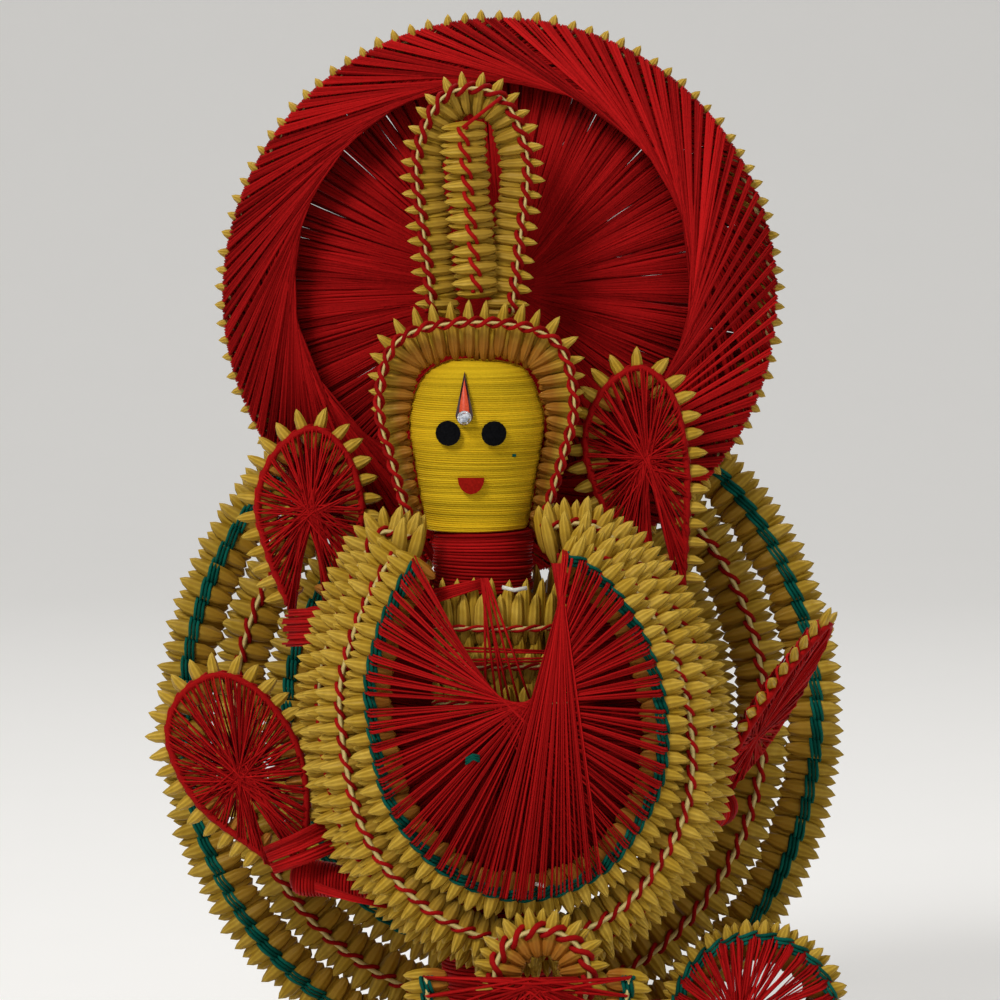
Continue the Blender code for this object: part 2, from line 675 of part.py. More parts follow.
def build_forehead_stone(middle, face):
    """A small stone in a round setting, flat on the proudest part of the mark under it."""
    proudest = min(head_front(middle.x + side * STONE_RADIUS, middle.y) for side in (-1, 0, 1))
    depth = proudest - MARK_LIFT - FELT - CLEARANCE
    made = bmesh.new()
    loops = []
    for radius_share, out in STONE_PROFILE:
        loop = []
        for side in range(STONE_SIDES):
            angle = math.tau * side / STONE_SIDES
            across = STONE_RADIUS * radius_share
            spot = (across * math.cos(angle), -out * STONE_HEIGHT, across * math.sin(angle))
            loop.append(made.verts.new(spot))
        loops.append(loop)
    for lower, upper in zip(loops, loops[1:]):
        for side in range(STONE_SIDES):
            after = (side + 1) % STONE_SIDES
            made.faces.new((lower[side], lower[after], upper[after], upper[side]))
    made.faces.new(loops[0])
    made.faces.new(loops[-1])
    stone = material("clear_stone", CLEAR_STONE, 0.1)
    piece("forehead_stone", made, stone, face, (middle.x, depth, middle.y))


def face_arch_line():
    """The arch's tie, from its left foot over the head to its right foot."""
    def beside(share, gap):
        height = share * HEAD_HEIGHT
        return head_half_width(height) + gap, height

    foot = beside(ARCH_FOOT_LEVEL, ARCH_FOOT_GAP)
    cheek = beside(ARCH_CHEEK_LEVEL, ARCH_CHEEK_GAP)
    side = beside(ARCH_SIDE_LEVEL, ARCH_SIDE_GAP)
    shoulder = (ARCH_SHOULDER[0] * side[0], HEAD_HEIGHT + ARCH_SHOULDER[1] * ARCH_TOP_GAP)
    left = [Vector((-x, z)) for x, z in (foot, cheek, side, shoulder)]
    right = [Vector((x, z)) for x, z in (shoulder, side, cheek, foot)]
    return smooth_line(left + [Vector((0.0, HEAD_HEIGHT + ARCH_TOP_GAP))] + right)


def arch_inner_reach(place, normal):
    """How far the inner grains go from the tie before they meet the head."""
    step = 0.1 * MM
    reach = step
    while reach < ARCH_TOP_GAP:
        spot = place - normal * (reach + step + CLEARANCE)
        half_width = head_half_width(spot.y)
        inside = math.sqrt(1 - (ARCH_FORWARD / (half_width * HEAD_DEPTH_SHARE)) ** 2)
        if abs(spot.x) < half_width * inside and spot.y < HEAD_HEIGHT:
            break
        reach += step
    return reach


def build_arch_and_crown(figure):
    front = HEAD_Y - ARCH_FORWARD - ARCH_DEPTH
    line = face_arch_line()
    grain_chain("face_arch", line, False, ARCH_REACH, arch_inner_reach, figure,
                (HEAD_X, front, HEAD_Z), depth=ARCH_DEPTH, lean=ARCH_FORWARD)
    foot_x = HEAD_X - (CROWN_X - CROWN_FOOT_HALF_WIDTH)
    foot_height = max(p.y for p in line if abs(p.x + foot_x) < GRAIN_PITCH / 2)
    crown_z = HEAD_Z + foot_height + ARCH_REACH + CLEARANCE
    crown_y = front + ARCH_FORWARD + ARCH_DEPTH / 2
    build_crown(holder("crown", (CROWN_X, crown_y, crown_z), figure))
    top_z = HEAD_Z + HEAD_HEIGHT + ARCH_TOP_GAP + ARCH_REACH + CLEARANCE
    build_spine(figure, crown_y, top_z)


def build_crown(crown):
    left = [Vector((-CROWN_FOOT_HALF_WIDTH, 0.0))]
    left += [Vector((x * CROWN_HALF_WIDTH, z * CROWN_HEIGHT)) for x, z in CROWN_OUTLINE]
    right = [Vector((-p.x, p.y)) for p in reversed(left)]
    line = smooth_line(left + [Vector((0.0, CROWN_HEIGHT))] + right)
    grain_chain("crown_arch", line, False, CROWN_REACH, CROWN_INNER_REACH, crown, (0.0, 0.0, 0.0))


def build_spine(figure, depth, bottom):
    lean = SPINE_LEAN / 2
    line = [Vector((lean, 0.0)), Vector((-lean, SPINE_HEIGHT))]
    grain_chain("crown_spine", line, False, SPINE_REACH, SPINE_REACH, figure, (CROWN_X, depth, bottom))


def build_halo(figure):
    halo = holder("halo", (0.0, 0.0, HALO_Z), figure)
    wall = HALO_HOOP_WALL / 2
    ring = ellipse(HALO_TIE_RADIUS, HALO_TIE_RADIUS)
    rim_chain("halo_grain_hoop", ring, True, HALO_REACH, wall, halo, (0.0, HALO_HOOP_Y, 0.0),
              depth=HALO_HOOP_DEPTH, grain_depth=HALO_GRAIN_DEPTH)
    strands = 2 * round(math.tau * HALO_TIE_RADIUS / WEB_SPACING / 2)
    outer, inner = [], []
    for strand in range(strands):
        angle = -math.tau * strand / strands
        turned = angle - HALO_BAND_SWEEP
        outer.append(Vector((math.cos(angle), math.sin(angle))) * HALO_TIE_RADIUS)
        inner.append(Vector((math.cos(turned), math.sin(turned))) * HALO_BAND_INNER_RADIUS)
    band_y = HALO_FRONT_Y + THREAD_RIDGE
    thread_strip("halo_thread_band", outer, inner, True, halo, (0.0, band_y, 0.0))
    edge = inset_line(ring, wall + WEB_CLEARANCE, True)
    spokes_y = HALO_HOOP_Y + HALO_HUB_DEPTH
    thread_web("halo_thread_spokes", edge, Vector((0.0, 0.0)), halo, (0.0, spokes_y, 0.0))


def build_body(figure):
    coiled_rows("seat_coil", SEAT_ROWS, SEAT_HALF_WIDTH, SEAT_HALF_DEPTH, figure, (SEAT_X, SEAT_Y, 0.0))
    red = material("red_thread", RED_THREAD, 0.5)
    waist = [(height, WAIST_RADIUS, WAIST_RADIUS) for height in (0.0, WAIST_HEIGHT)]
    turned_body("waist_bundle", waist, WAIST_SIDES, red, figure, (TORSO_X, WAIST_Y, WAIST_Z))
    coiled_rows("torso_coil", TORSO_ROWS, TORSO_HALF_WIDTH, TORSO_HALF_DEPTH, figure,
                (TORSO_X, TORSO_Y, TORSO_Z), TOP_TIP_RISE)


def ring_line(half_width, half_height, to_neck):
    """A ring's tie, open at the neck; to_neck takes its ends in over the shoulders."""
    shares = [SHOULDER_RIGHT] * to_neck + RING_OUTLINE + [SHOULDER_LEFT] * to_neck
    return smooth_line([Vector((x * half_width, z * half_height)) for x, z in shares])


def build_rings(figure):
    """Four rings one behind the other, each wider and lower than the one before it."""
    front = ring_line(RING_HALF_WIDTH, RING_HALF_HEIGHT, False)
    grain_chain("front_ring", front, False, RING_REACH, RING_INNER_REACH, figure,
                (RING_X, FRONT_RING_Y, RING_HEIGHT))
    middle_z = RING_HEIGHT - RING_STEP_DOWN
    step_out = RING_STEP_OUT
    second = ring_line(RING_HALF_WIDTH + step_out, RING_HALF_HEIGHT + step_out, False)
    grain_chain("second_ring", second, False, RING_REACH, RING_INNER_REACH, figure,
                (RING_X, SECOND_RING_Y, middle_z))
    for name, depth in (("third_ring", THIRD_RING_Y), ("rear_ring", REAR_RING_Y)):
        step_out += REAR_RING_STEP
        line = ring_line(RING_HALF_WIDTH + step_out, RING_HALF_HEIGHT + step_out, True)
        rim_chain(name, line, False, RING_REACH, RIM_WALL, figure, (RING_X, depth, middle_z))
    build_fan(front, holder("thread_fan", (RING_X, FAN_Y, RING_HEIGHT), figure))


def build_fan(ring, fan):
    """Threads from the front ring to the edge of the open neckline."""
    count = round(line_length(ring, False) / WEB_SPACING)
    neckline = []
    for x, z in NECKLINE_OUTLINE:
        across = NECKLINE_MIDDLE + x * NECKLINE_HALF_WIDTH
        neckline.append(Vector((across, NECKLINE_BOTTOM + z * NECKLINE_HEIGHT)))
    outer = spread(ring, count, False)
    inner = spread(smooth_line(neckline), count, False)
    thread_strip("chest_thread_fan", outer, inner, False, fan, (0.0, 0.0, 0.0))


def bundle(name, start, end, start_radius, end_radius, parent):
    """A thread-wound bundle of straw between two places."""
    along = Vector(end) - Vector(start)
    made = bmesh.new()
    bmesh.ops.create_cone(made, cap_ends=True, segments=BUNDLE_SIDES, radius1=start_radius,
                          radius2=end_radius, depth=along.length)
    middle = (Vector(start) + Vector(end)) / 2
    turn = along.to_track_quat("Z", "Y").to_euler()
    piece(name, made, material("red_thread", RED_THREAD, 0.5), parent, middle, turn)


def build_hand(name, figure, wrist, line, focus, tilt, turn):
    """A grain loop from one side of the wrist round to the other, with its thread web.

    The loop is turned about its own length, then tilted to the side.
    """
    leaning = holder(name + "_tilt", wrist, figure, (0.0, tilt, 0.0))
    hand = holder(name, (0.0, 0.0, 0.0), leaning, (0.0, 0.0, turn))
    rim_chain(name + "_rim", line, False, HAND_REACH, RIM_WALL, hand, (0.0, 0.0, 0.0))
    edge = inset_line(line, RIM_WALL + WEB_CLEARANCE, False)
    thread_web(name + "_web", edge, focus, hand, (0.0, CHAIN_DEPTH / 2, 0.0))


def build_hands(figure):
    wrists = []
    for name, wrist, shoulder, back, size, outline, focus, tilt, turn in HANDS:
        place = Vector((wrist[0], BEHIND_RINGS_Y + back, wrist[1]))
        line = smooth_line([Vector((x * size[0], z * size[1])) for x, z in outline])
        middle = Vector((focus[0] * size[0], focus[1] * size[1]))
        build_hand(name + "_hand", figure, place, line, middle, tilt, turn)
        wrists.append((name, place, Vector(shoulder)))
    build_arms(figure, wrists)


def build_arms(figure, wrists):
    """Wound stubs from each wrist to the place on the rear ring's back nearest to its aim."""
    step_out = RING_STEP_OUT + 2 * REAR_RING_STEP - RIM_WALL
    ring = ring_line(RING_HALF_WIDTH + step_out, RING_HALF_HEIGHT + step_out, True)
    middle = Vector((RING_X, RING_HEIGHT - RING_STEP_DOWN))
    for name, wrist, aim in wrists:
        grip = wrist + Vector((0.0, CHAIN_DEPTH / 2, -GRIP_DROP))
        nearest = min((middle + place for place in ring), key=lambda p: (p - aim).length)
        shoulder = at_depth(nearest, BEHIND_RINGS_Y)
        along = (grip - shoulder).normalized()
        shoulder.y += ARM_RADIUS * math.sqrt(1 - along.y**2)
        bundle(name + "_arm", shoulder, grip, ARM_RADIUS, WRIST_RADIUS, figure)


def build_wreath(figure):
    step = WREATH_REACH + WREATH_INNER_REACH + CLEARANCE
    for index, name in enumerate(("wreath_outer_chain", "wreath_middle_chain", "wreath_inner_chain")):
        line = ellipse(WREATH_HALF_WIDTH - index * step, WREATH_HALF_HEIGHT - index * step)
        grain_chain(name, line, True, WREATH_REACH, WREATH_INNER_REACH, figure,
                    (0.0, WREATH_Y, WREATH_HEIGHT), pitch=WREATH_PITCH, color=SHADED_STRAW)


def build_lap(figure):
    ring = ellipse(ROSETTE_RADIUS, ROSETTE_RADIUS)
    grain_chain("rosette_chain", ring, True, ROSETTE_REACH, ROSETTE_INNER_REACH, figure,
                (ROSETTE_X, ROSETTE_Y, ROSETTE_HEIGHT))
    bowl = holder("lap_bowl", (BOWL_X, BOWL_Y, BOWL_HEIGHT), figure)
    line = []
    for step in range(BOWL_STEPS + 1):
        angle = -math.pi * step / BOWL_STEPS
        line.append(Vector((BOWL_HALF_WIDTH * math.cos(angle), BOWL_DROP * math.sin(angle))))
    rim_chain("lap_bowl_chain", line, False, BOWL_REACH, RIM_WALL, bowl, (0.0, 0.0, 0.0))
    edge = inset_line(line, RIM_WALL + WEB_CLEARANCE, False)
    thread_web("lap_bowl_web", edge, Vector((0.0, -BOWL_FOCUS_DROP)), bowl,
               (0.0, CHAIN_DEPTH - THREAD_SHEET, 0.0))
    build_knee(figure)


def build_knee(figure):
    seat_right = SEAT_X + SEAT_HALF_WIDTH + ROW_FLARE
    knee_x = seat_right + CLEARANCE + KNEE_REACH + KNEE_RADIUS
    bundle_y = SEAT_Y
    knee_y = bundle_y - KNEE_BUNDLE_RADIUS - CLEARANCE - CHAIN_DEPTH
    disc = holder("knee_disc", (knee_x, knee_y, KNEE_HEIGHT), figure)
    ring = ellipse(KNEE_RADIUS, KNEE_RADIUS)
    grain_chain("knee_disc_chain", ring, True, KNEE_REACH, KNEE_INNER_REACH, disc, (0.0, 0.0, 0.0))
    edge = inset_line(ring, 0.0, True)
    web_y = -CLEARANCE - THREAD_SHEET
    focus = Vector((-KNEE_FOCUS_ASIDE, -KNEE_FOCUS_DROP))
    thread_web("knee_disc_web", edge, focus, disc, (0.0, web_y, 0.0))
    bundle_z = SEAT_HEIGHT + CLEARANCE + KNEE_BUNDLE_RADIUS
    start = (TORSO_X + WAIST_RADIUS + 2 * CLEARANCE, bundle_y, bundle_z)
    end = (knee_x - KNEE_BUNDLE_INSET, bundle_y, bundle_z)
    bundle("knee_bundle", start, end, KNEE_BUNDLE_RADIUS, KNEE_BUNDLE_RADIUS, figure)


def centre_on_base(figure):
    """Puts the middle of the figure's footprint at the origin."""
    bpy.context.view_layer.update()
    corners = []
    for item in bpy.data.objects:
        if item.type == "MESH":
            corners += [item.matrix_world @ vertex.co for vertex in item.data.vertices]
    for axis in (0, 1):
        values = [corner[axis] for corner in corners]
        figure.location[axis] -= (min(values) + max(values)) / 2


def main():
    clear_scene()
    figure = holder("figure", (0.0, 0.0, 0.0), None)
    build_wreath(figure)
    build_body(figure)
    build_head(figure)
    build_arch_and_crown(figure)
    build_halo(figure)
    build_rings(figure)
    build_hands(figure)
    build_lap(figure)
    centre_on_base(figure)


main()
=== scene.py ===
"""Paddy straw Lakshmi figure: unhusked grains tied into chains, and fans of wound thread."""

import math
import random

import bmesh
import bpy
from bpy.props import FloatProperty, FloatVectorProperty, PointerProperty
from mathutils import Matrix, Vector


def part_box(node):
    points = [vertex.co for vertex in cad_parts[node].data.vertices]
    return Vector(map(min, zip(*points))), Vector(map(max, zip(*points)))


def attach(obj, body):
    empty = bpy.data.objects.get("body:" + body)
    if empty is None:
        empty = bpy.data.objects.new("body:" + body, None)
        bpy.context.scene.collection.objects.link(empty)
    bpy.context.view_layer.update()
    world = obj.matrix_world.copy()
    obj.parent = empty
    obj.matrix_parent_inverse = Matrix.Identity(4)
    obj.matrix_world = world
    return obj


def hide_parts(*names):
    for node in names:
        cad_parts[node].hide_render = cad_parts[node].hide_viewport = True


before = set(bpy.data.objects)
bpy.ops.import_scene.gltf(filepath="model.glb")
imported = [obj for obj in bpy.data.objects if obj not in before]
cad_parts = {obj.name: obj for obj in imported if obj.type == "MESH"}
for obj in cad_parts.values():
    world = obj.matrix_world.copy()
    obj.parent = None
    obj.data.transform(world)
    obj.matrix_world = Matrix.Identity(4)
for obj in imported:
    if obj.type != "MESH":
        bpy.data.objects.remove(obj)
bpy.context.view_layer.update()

bl_info = {
    "name": "Paddy straw Lakshmi figure",
    "version": (1, 0, 0),
    "blender": (4, 5, 0),
    "location": "View3D > Sidebar > Figure",
    "description": "Dresses the packed figure with grain chains, ties and wound thread",
    "category": "Object",
}

MM = 0.001


def mm(*numbers):
    """A place or a step given in millimetres."""
    return Vector(numbers) * MM


# One grain, from its inner point to its outer one: (place along it, girth), as shares
GRAIN_LEVELS = [(-0.44, 0.56), (-0.26, 0.94), (0.02, 1.0), (0.26, 0.84), (0.41, 0.46)]
GRAIN_SIDES = 8
FURROW = 0.78  # how far a furrow of the husk is sunk, as a share of the girth
TOUCHING = 1e-4  # corners of the grain closer than this share of its length are at one place
PARALLEL = 1e-12

# Chains: the rear layer's step back, the green tie's strands and the widths of the strips
REAR_LAYER = 0.62
GREEN_TIE = 0.72 * MM
STRIPS = {"red": 1.3 * MM, "thin": 0.55 * MM, True: 0.9 * MM}
# The cores under windings and grain rows are toned dark: painted shade in the gaps
CORE_SHADE_TONE = 0.2

# Middles of the chains and bodies, across and up, in the figure's frame
HALO = mm(0.0, 152.3)
HALO_RADIUS = 50.6 * MM
HALO_GAPS = 98
HALO_HUB = mm(1.0, 153.4)
HEAD = mm(-4.3, 3.3, 110.0)
HEAD_HEIGHT = 30.8 * MM
HEAD_CHIN, HEAD_CHEEK, HEAD_CROWN = 9.4 * MM, 12.5 * MM, 9.6 * MM
HEAD_DEPTH_SHARE = 0.92
RING_FRONT = mm(3.3, 76.6)
RING_REAR = mm(3.3, 73.0)
RING_SIZE = mm(26.8, 31.6)
RING_OUTLINE = [(0.32, 0.95), (0.47, 0.89), (0.7, 0.68), (0.9, 0.34), (0.98, -0.08),
                (0.89, -0.46), (0.55, -0.85), (0.04, -1.0), (-0.47, -0.86), (-0.86, -0.46),
                (-1.0, 0.14), (-0.93, 0.5), (-0.79, 0.78), (-0.69, 0.91)]
SHOULDERS = [(0.12, 0.92)], [(-0.5, 0.88)]
WREATH = mm(0.0, 71.2)
CROWN_X = -5.1 * MM
CROWN_FOOT = 152.6 * MM
CROWN_LINE = [(-7.6, 0.0), (-8.9, 11.6), (-10.2, 25.5), (-6.3, 35.9), (0.0, 38.6),
              (6.3, 35.9), (10.2, 25.5), (8.9, 11.6), (7.6, 0.0)]
FACE_ARCH = [(-11.9, 0.6), (-15.6, 12.9), (-17.9, 24.0), (-14.0, 35.4), (0.0, 38.5),
             (14.0, 35.4), (17.9, 24.0), (15.6, 12.9), (11.9, 0.6)]

# Hands: wrist, the loop's tie round it, the focus of its threads, tilt, turn about its length
HANDS = {
    "upper_left_hand": (
        (-35.2, 6.6, 94.0),
        [(-4.2, 1.5), (-7.8, 10.5), (-9.9, 20.5), (-6.6, 29.5), (0.4, 34.2),
         (6.6, 29.5), (9.5, 19.5), (7.6, 10.5), (3.8, 1.5)],
        (0.0, 19.0), 0.0, 0.0,
    ),
    "upper_right_hand": (
        (31.0, 6.6, 97.5),
        [(-3.6, 1.5), (-11.0, 14.5), (-15.2, 27.5), (-12.0, 37.5), (-4.9, 42.0),
         (1.0, 36.5), (3.6, 24.5), (3.6, 12.0), (2.9, 1.5)],
        (-3.8, 25.0), 0.0, 0.0,
    ),
    "lower_left_hand": (
        (-38.6, -2.0, 48.0),
        [(-5.0, 1.5), (-17.0, 11.0), (-22.6, 22.5), (-20.6, 31.0), (-13.6, 35.2),
         (-6.0, 32.0), (0.6, 23.0), (2.8, 12.5), (2.0, 1.5)],
        (-9.6, 16.0), 0.0, 0.0,
    ),
    "lower_right_hand": (
        (42.0, 7.0, 60.0),
        [(-3.0, 0.6), (-8.4, 9.0), (-9.6, 18.0), (-6.4, 29.0), (0.0, 37.0),
         (6.4, 29.0), (9.6, 18.0), (8.4, 9.0), (3.0, 0.6)],
        (0.0, 12.0), math.radians(32.5), math.radians(70),
    ),
}


def a_length(name, description, size):
    return FloatProperty(name=name, description=description, default=size * MM, unit="LENGTH")


def a_colour(name, description, shade):
    return FloatVectorProperty(name=name, description=description, default=shade, subtype="COLOR")


class GrainSettings(bpy.types.PropertyGroup):
    """Sizes and colours of the grains and their straw strip."""

    width: a_length("Grain width", "Across one grain", 2.9)
    thickness: a_length("Grain thickness", "Front to back of one grain", 1.9)
    pitch: a_length("Grain spacing", "From one grain to the next along a tie", 3.25)
    husk: a_colour("Husk", "Colour of a ripe husk", (0.46, 0.265, 0.012))
    pale: a_colour("Pale husk", "Colour of points and ridges", (0.74, 0.49, 0.075))
    # Shaded husk: painted shade, mixed into the furrows between a grain's ridges
    shaded: a_colour("Shaded husk", "Colour in furrows and at ties", (0.2, 0.095, 0.006))
    # Stain and shade: red dye stain and painted shade on the inner ends beside red thread
    stain_and_shade: a_colour("Stained husk", "Inner ends beside red thread", (0.34, 0.1, 0.012))
    straw: a_colour("Straw strip", "Split straw under the ties", (0.62, 0.48, 0.17))


class ThreadSettings(bpy.types.PropertyGroup):
    """Thickness and colours of the threads."""

    thickness: a_length("Thread", "Across one strand of the fans", 0.52)
    tie: a_length("Tie thread", "Across one strand of a tie", 0.8)
    red: a_colour("Red thread", "Crimson silk thread", (0.34, 0.007, 0.007))
    green: a_colour("Green thread", "Teal green tie thread", (0.004, 0.085, 0.06))
    yellow: a_colour("Yellow thread", "Thread wound on the head", (0.68, 0.44, 0.014))


class StageSettings(bpy.types.PropertyGroup):
    """The floor, the backdrop and the camera."""

    backdrop: a_colour("Backdrop", "Floor and backdrop colour", (0.8, 0.79, 0.77))
    lens: FloatProperty(name="Lens", description="Focal length in millimetres", default=172.8)


def grains():
    return bpy.context.scene.figure_grains


def threads():
    return bpy.context.scene.figure_threads


# Lines in the plane of a chain: x across, y up


def in_mm(points, origin=mm(0.0, 0.0)):
    """Places given in millimetres from an origin."""
    return [origin + mm(*point) for point in points]


def smooth_line(points, steps=12):
    """Fine points along an open Catmull-Rom curve through the given ones."""
    count = len(points)
    line = []
    for index in range(count - 1):
        start, end = points[index], points[index + 1]
        before = points[index - 1] if index else start * 2 - end
        after = points[index + 2] if index + 2 < count else end * 2 - start
        for step in range(steps):
            t = step / steps
            line.append(
                start
                + (end - before) * (0.5 * t)
                + (before * 2 - start * 5 + end * 4 - after) * (0.5 * t * t)
                + (start * 3 - end * 3 + after - before) * (0.5 * t * t * t)
            )
    line.append(points[-1].copy())
    return line


def ellipse(centre, half_width, half_height, steps=360):
    """Clockwise seen from the front, from its left."""
    line = []
    for step in range(steps):
        angle = math.pi - math.tau * step / steps
        line.append(centre + Vector((half_width * math.cos(angle), half_height * math.sin(angle))))
    return line


def spread(line, count, closed):
    """Places at equal distances along a line: count of them if closed, else count + 1."""
    points = line + [line[0]] if closed else line
    lengths = [0.0]
    for a, b in zip(points, points[1:]):
        lengths.append(lengths[-1] + (b - a).length)
    places = []
    segment = 0
    for index in range(count if closed else count + 1):
        goal = lengths[-1] * index / count
        while segment < len(points) - 2 and lengths[segment + 1] < goal:
            segment += 1
        span = lengths[segment + 1] - lengths[segment]
        places.append(points[segment].lerp(points[segment + 1], (goal - lengths[segment]) / span))
    return places


def outward(places, closed):
    """The outward normal at each place of a clockwise line."""
    count = len(places)
    normals = []
    for index in range(count):
        after = places[(index + 1) % count] if closed else places[min(index + 1, count - 1)]
        before = places[index - 1] if closed or index else places[0]
        along = (after - before).normalized()
        normals.append(Vector((-along.y, along.x)))
    return normals


def line_length(line, closed):
    ends = line[1:] + line[:1] if closed else line[1:]
    return sum((b - a).length for a, b in zip(line, ends))


def held(value):
    """A share held between 0 and 1."""
    return min(1.0, max(0.0, value))


def aside(normal):
    """The way along a chain, from its outward normal."""
    return Vector((normal.y, -normal.x))


def cross(first, second):
    """The flat vectors' cross product: above 0 where the second turns left of the first."""
    return first.x * second.y - first.y * second.x


def at_depth(place, depth):
    return Vector((place.x, depth, place.y))


def ring_line(centre, step_out, to_neck):
    """The tie of a ring in front of the torso, open at the neck."""
    shares = SHOULDERS[0] * to_neck + RING_OUTLINE + SHOULDERS[1] * to_neck
    wide, high = RING_SIZE.x + step_out, RING_SIZE.y + step_out
    return smooth_line([centre + Vector((x * wide, z * high)) for x, z in shares])


# Objects


def deselect():
    if bpy.context.object and bpy.context.object.mode != "OBJECT":
        bpy.ops.object.mode_set(mode="OBJECT")
    bpy.ops.object.select_all(action="DESELECT")


def only(item):
    """Makes one object the selected and active one."""
    deselect()
    item.select_set(True)
    bpy.context.view_layer.objects.active = item
    return item


def settle(piece, material, slot, nodes=()):
    """Gives a finished piece its material and its place on the figure."""
    piece.data.materials.clear()
    piece.data.materials.append(material)
    only(piece)
    bpy.ops.object.shade_smooth()
    if nodes:
        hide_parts(*nodes)
    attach(piece, "root")
    return piece


def join(items, name):
    deselect()
    for item in items:
        item.select_set(True)
    bpy.context.view_layer.objects.active = items[0]
    bpy.ops.object.join()
    items[0].name = items[0].data.name = name
    return items[0]


def apply_place():
    bpy.ops.object.transform_apply(location=True, rotation=True, scale=True)


def edit_all():
    bpy.ops.object.mode_set(mode="EDIT")
    bpy.ops.mesh.select_all(action="SELECT")


def extrude(move):
    bpy.ops.mesh.extrude_region_move(TRANSFORM_OT_translate={"value": move})


def finish_edit():
    """Turns every face of the edited mesh outwards, and leaves edit mode."""
    bpy.ops.mesh.select_all(action="SELECT")
    bpy.ops.mesh.normals_make_consistent(inside=False)
    bpy.ops.object.mode_set(mode="OBJECT")


def select_where(test):
    """Selects the corners of the edited mesh that pass a test, and nothing else."""
    mesh = bmesh.from_edit_mesh(bpy.context.object.data)
    for corner in mesh.verts:
        corner.select = test(corner.co)
    mesh.select_flush_mode()
    bmesh.update_edit_mesh(bpy.context.object.data)


def select_level(height):
    select_where(lambda place: abs(place.z - height) < TOUCHING)


def add_tones(mesh, values):
    mesh.attributes.new("tone", "FLOAT", "POINT").data.foreach_set("value", values)


def link(item):
    bpy.context.scene.collection.objects.link(item)
    return item


def model_grain():
    """One unhusked grain, 1 long and 1 wide, with ridges along it and its outer point up."""
    made = bpy.data.meshes.get("rice_grain")
    if made:
        return made
    deselect()
    low, girth = GRAIN_LEVELS[0]
    bpy.ops.mesh.primitive_circle_add(vertices=GRAIN_SIDES, radius=0.5 * girth, location=(0, 0, low))
    apply_place()
    edit_all()
    for (last, wide), (level, next_wide) in zip(GRAIN_LEVELS, GRAIN_LEVELS[1:]):
        extrude((0, 0, level - last))
        share = next_wide / wide
        bpy.ops.transform.resize(value=(share, share, 1), center_override=(0, 0, level))
    top = GRAIN_LEVELS[-1][0]
    for level, rise in ((top, 0.5 - top), (low, -0.5 - low)):
        select_level(level)
        extrude((0, 0, rise))
        bpy.ops.mesh.merge(type="CENTER")
    ridge_and_bend()
    finish_edit()
    grain = bpy.context.object
    made = grain.data
    made.name = "rice_grain"
    made.attributes.new("tone", "FLOAT", "POINT")
    lay_husk_map(made)
    bpy.data.objects.remove(grain)
    made.use_fake_user = True
    return made


def ridge_and_bend():
    """Sinks every second side into a furrow, and carries the outer point a little to one side."""

    def in_furrow(place):
        turn = math.atan2(place.y, place.x) / math.tau * GRAIN_SIDES
        return round(turn) % 2 == 1 and place.xy.length > TOUCHING

    select_where(in_furrow)
    bpy.ops.transform.resize(value=(FURROW, FURROW, 1), center_override=(0, 0, 0))
    for level, shift in ((0.5, 0.1), (GRAIN_LEVELS[-1][0], 0.05)):
        select_level(level)
        bpy.ops.transform.translate(value=(shift, 0, 0))


def lay_husk_map(mesh):
    """A map round the grain and along it, for the husk's ridges."""
    layer = mesh.uv_layers.new(name="husk_map")
    for face in mesh.polygons:
        middle = math.atan2(face.center.y, face.center.x) / math.tau
        for loop in face.loop_indices:
            place = mesh.vertices[mesh.loops[loop].vertex_index].co
            turn = math.atan2(place.y, place.x) / math.tau
            if place.xy.length < 0.11 and abs(place.z) > 0.49:
                turn = middle
            turn += round(middle - turn)
            layer.data[loop].uv = (turn, place.z + 0.5)


def copy_grain(place, along, across, length, width, tone):
    """One copy of the grain, with its own mesh, its length from inner point to outer point."""
    mesh = model_grain().copy()
    thickness = grains().thickness
    side = across.normalized()
    up = along.normalized()
    back = up.cross(side).normalized()
    side = back.cross(up)
    turn = Matrix((side * width, back * thickness, up * length)).transposed().to_4x4()
    mesh.transform(Matrix.Translation(place) @ turn)
    mesh.attributes["tone"].data.foreach_set("value", [tone] * len(mesh.vertices))
    return link(bpy.data.objects.new("grain", mesh))


def strands(name, paths, thickness, tones=None, sides=6, closed=False):
    """Threads as tubes along paths. tones gives each path's brightness, or one for each point."""
    curve = bpy.data.curves.new(name, "CURVE")
    curve.dimensions = "3D"
    curve.bevel_depth = thickness / 2
    curve.bevel_resolution = (sides - 4) // 2
    for path in paths:
        spline = curve.splines.new("POLY")
        spline.points.add(len(path) - 1)
        for point, place in zip(spline.points, path):
            point.co = (*place, 1.0)
        spline.use_cyclic_u = closed
    only(link(bpy.data.objects.new(name, curve)))
    bpy.ops.object.convert(target="MESH")
    item = bpy.context.object
    item.name = item.data.name = name
    edit_all()
    bpy.ops.mesh.fill_holes(sides=sides)
    finish_edit()
    values = []
    for index, path in enumerate(paths):
        tone = tones[index] if tones else 0.5
        for place in range(len(path)):
            values += [tone[place] if isinstance(tone, list) else tone] * sides
    if len(values) != len(item.data.vertices):
        raise RuntimeError(f"{name}: {len(item.data.vertices)} corners, {len(values)} tones")
    add_tones(item.data, values)
    return item


class RedStrands:
    """Red strands laid one after another, each with its own tone, and made one piece."""

    def __init__(self, seed):
        self.dice, self.paths, self.tones = random.Random(seed), [], []

    def add(self, *places, tone):
        """Lays a strand through places of the figure's front, each with its depth."""
        self.paths.append([at_depth(place, depth) for place, depth in places])
        self.tones.append(tone)

    def finish(self, name, thickness, nodes=(), sides=4, place_in=None):
        """Makes the piece, its strands as thick as the fans' thread times a share."""
        laid = strands(name, self.paths, threads().thickness * thickness, self.tones, sides)
        if place_in:
            laid.data.transform(place_in)
        settle(laid, red_thread(), "red_thread", nodes)


# Shared effects and materials


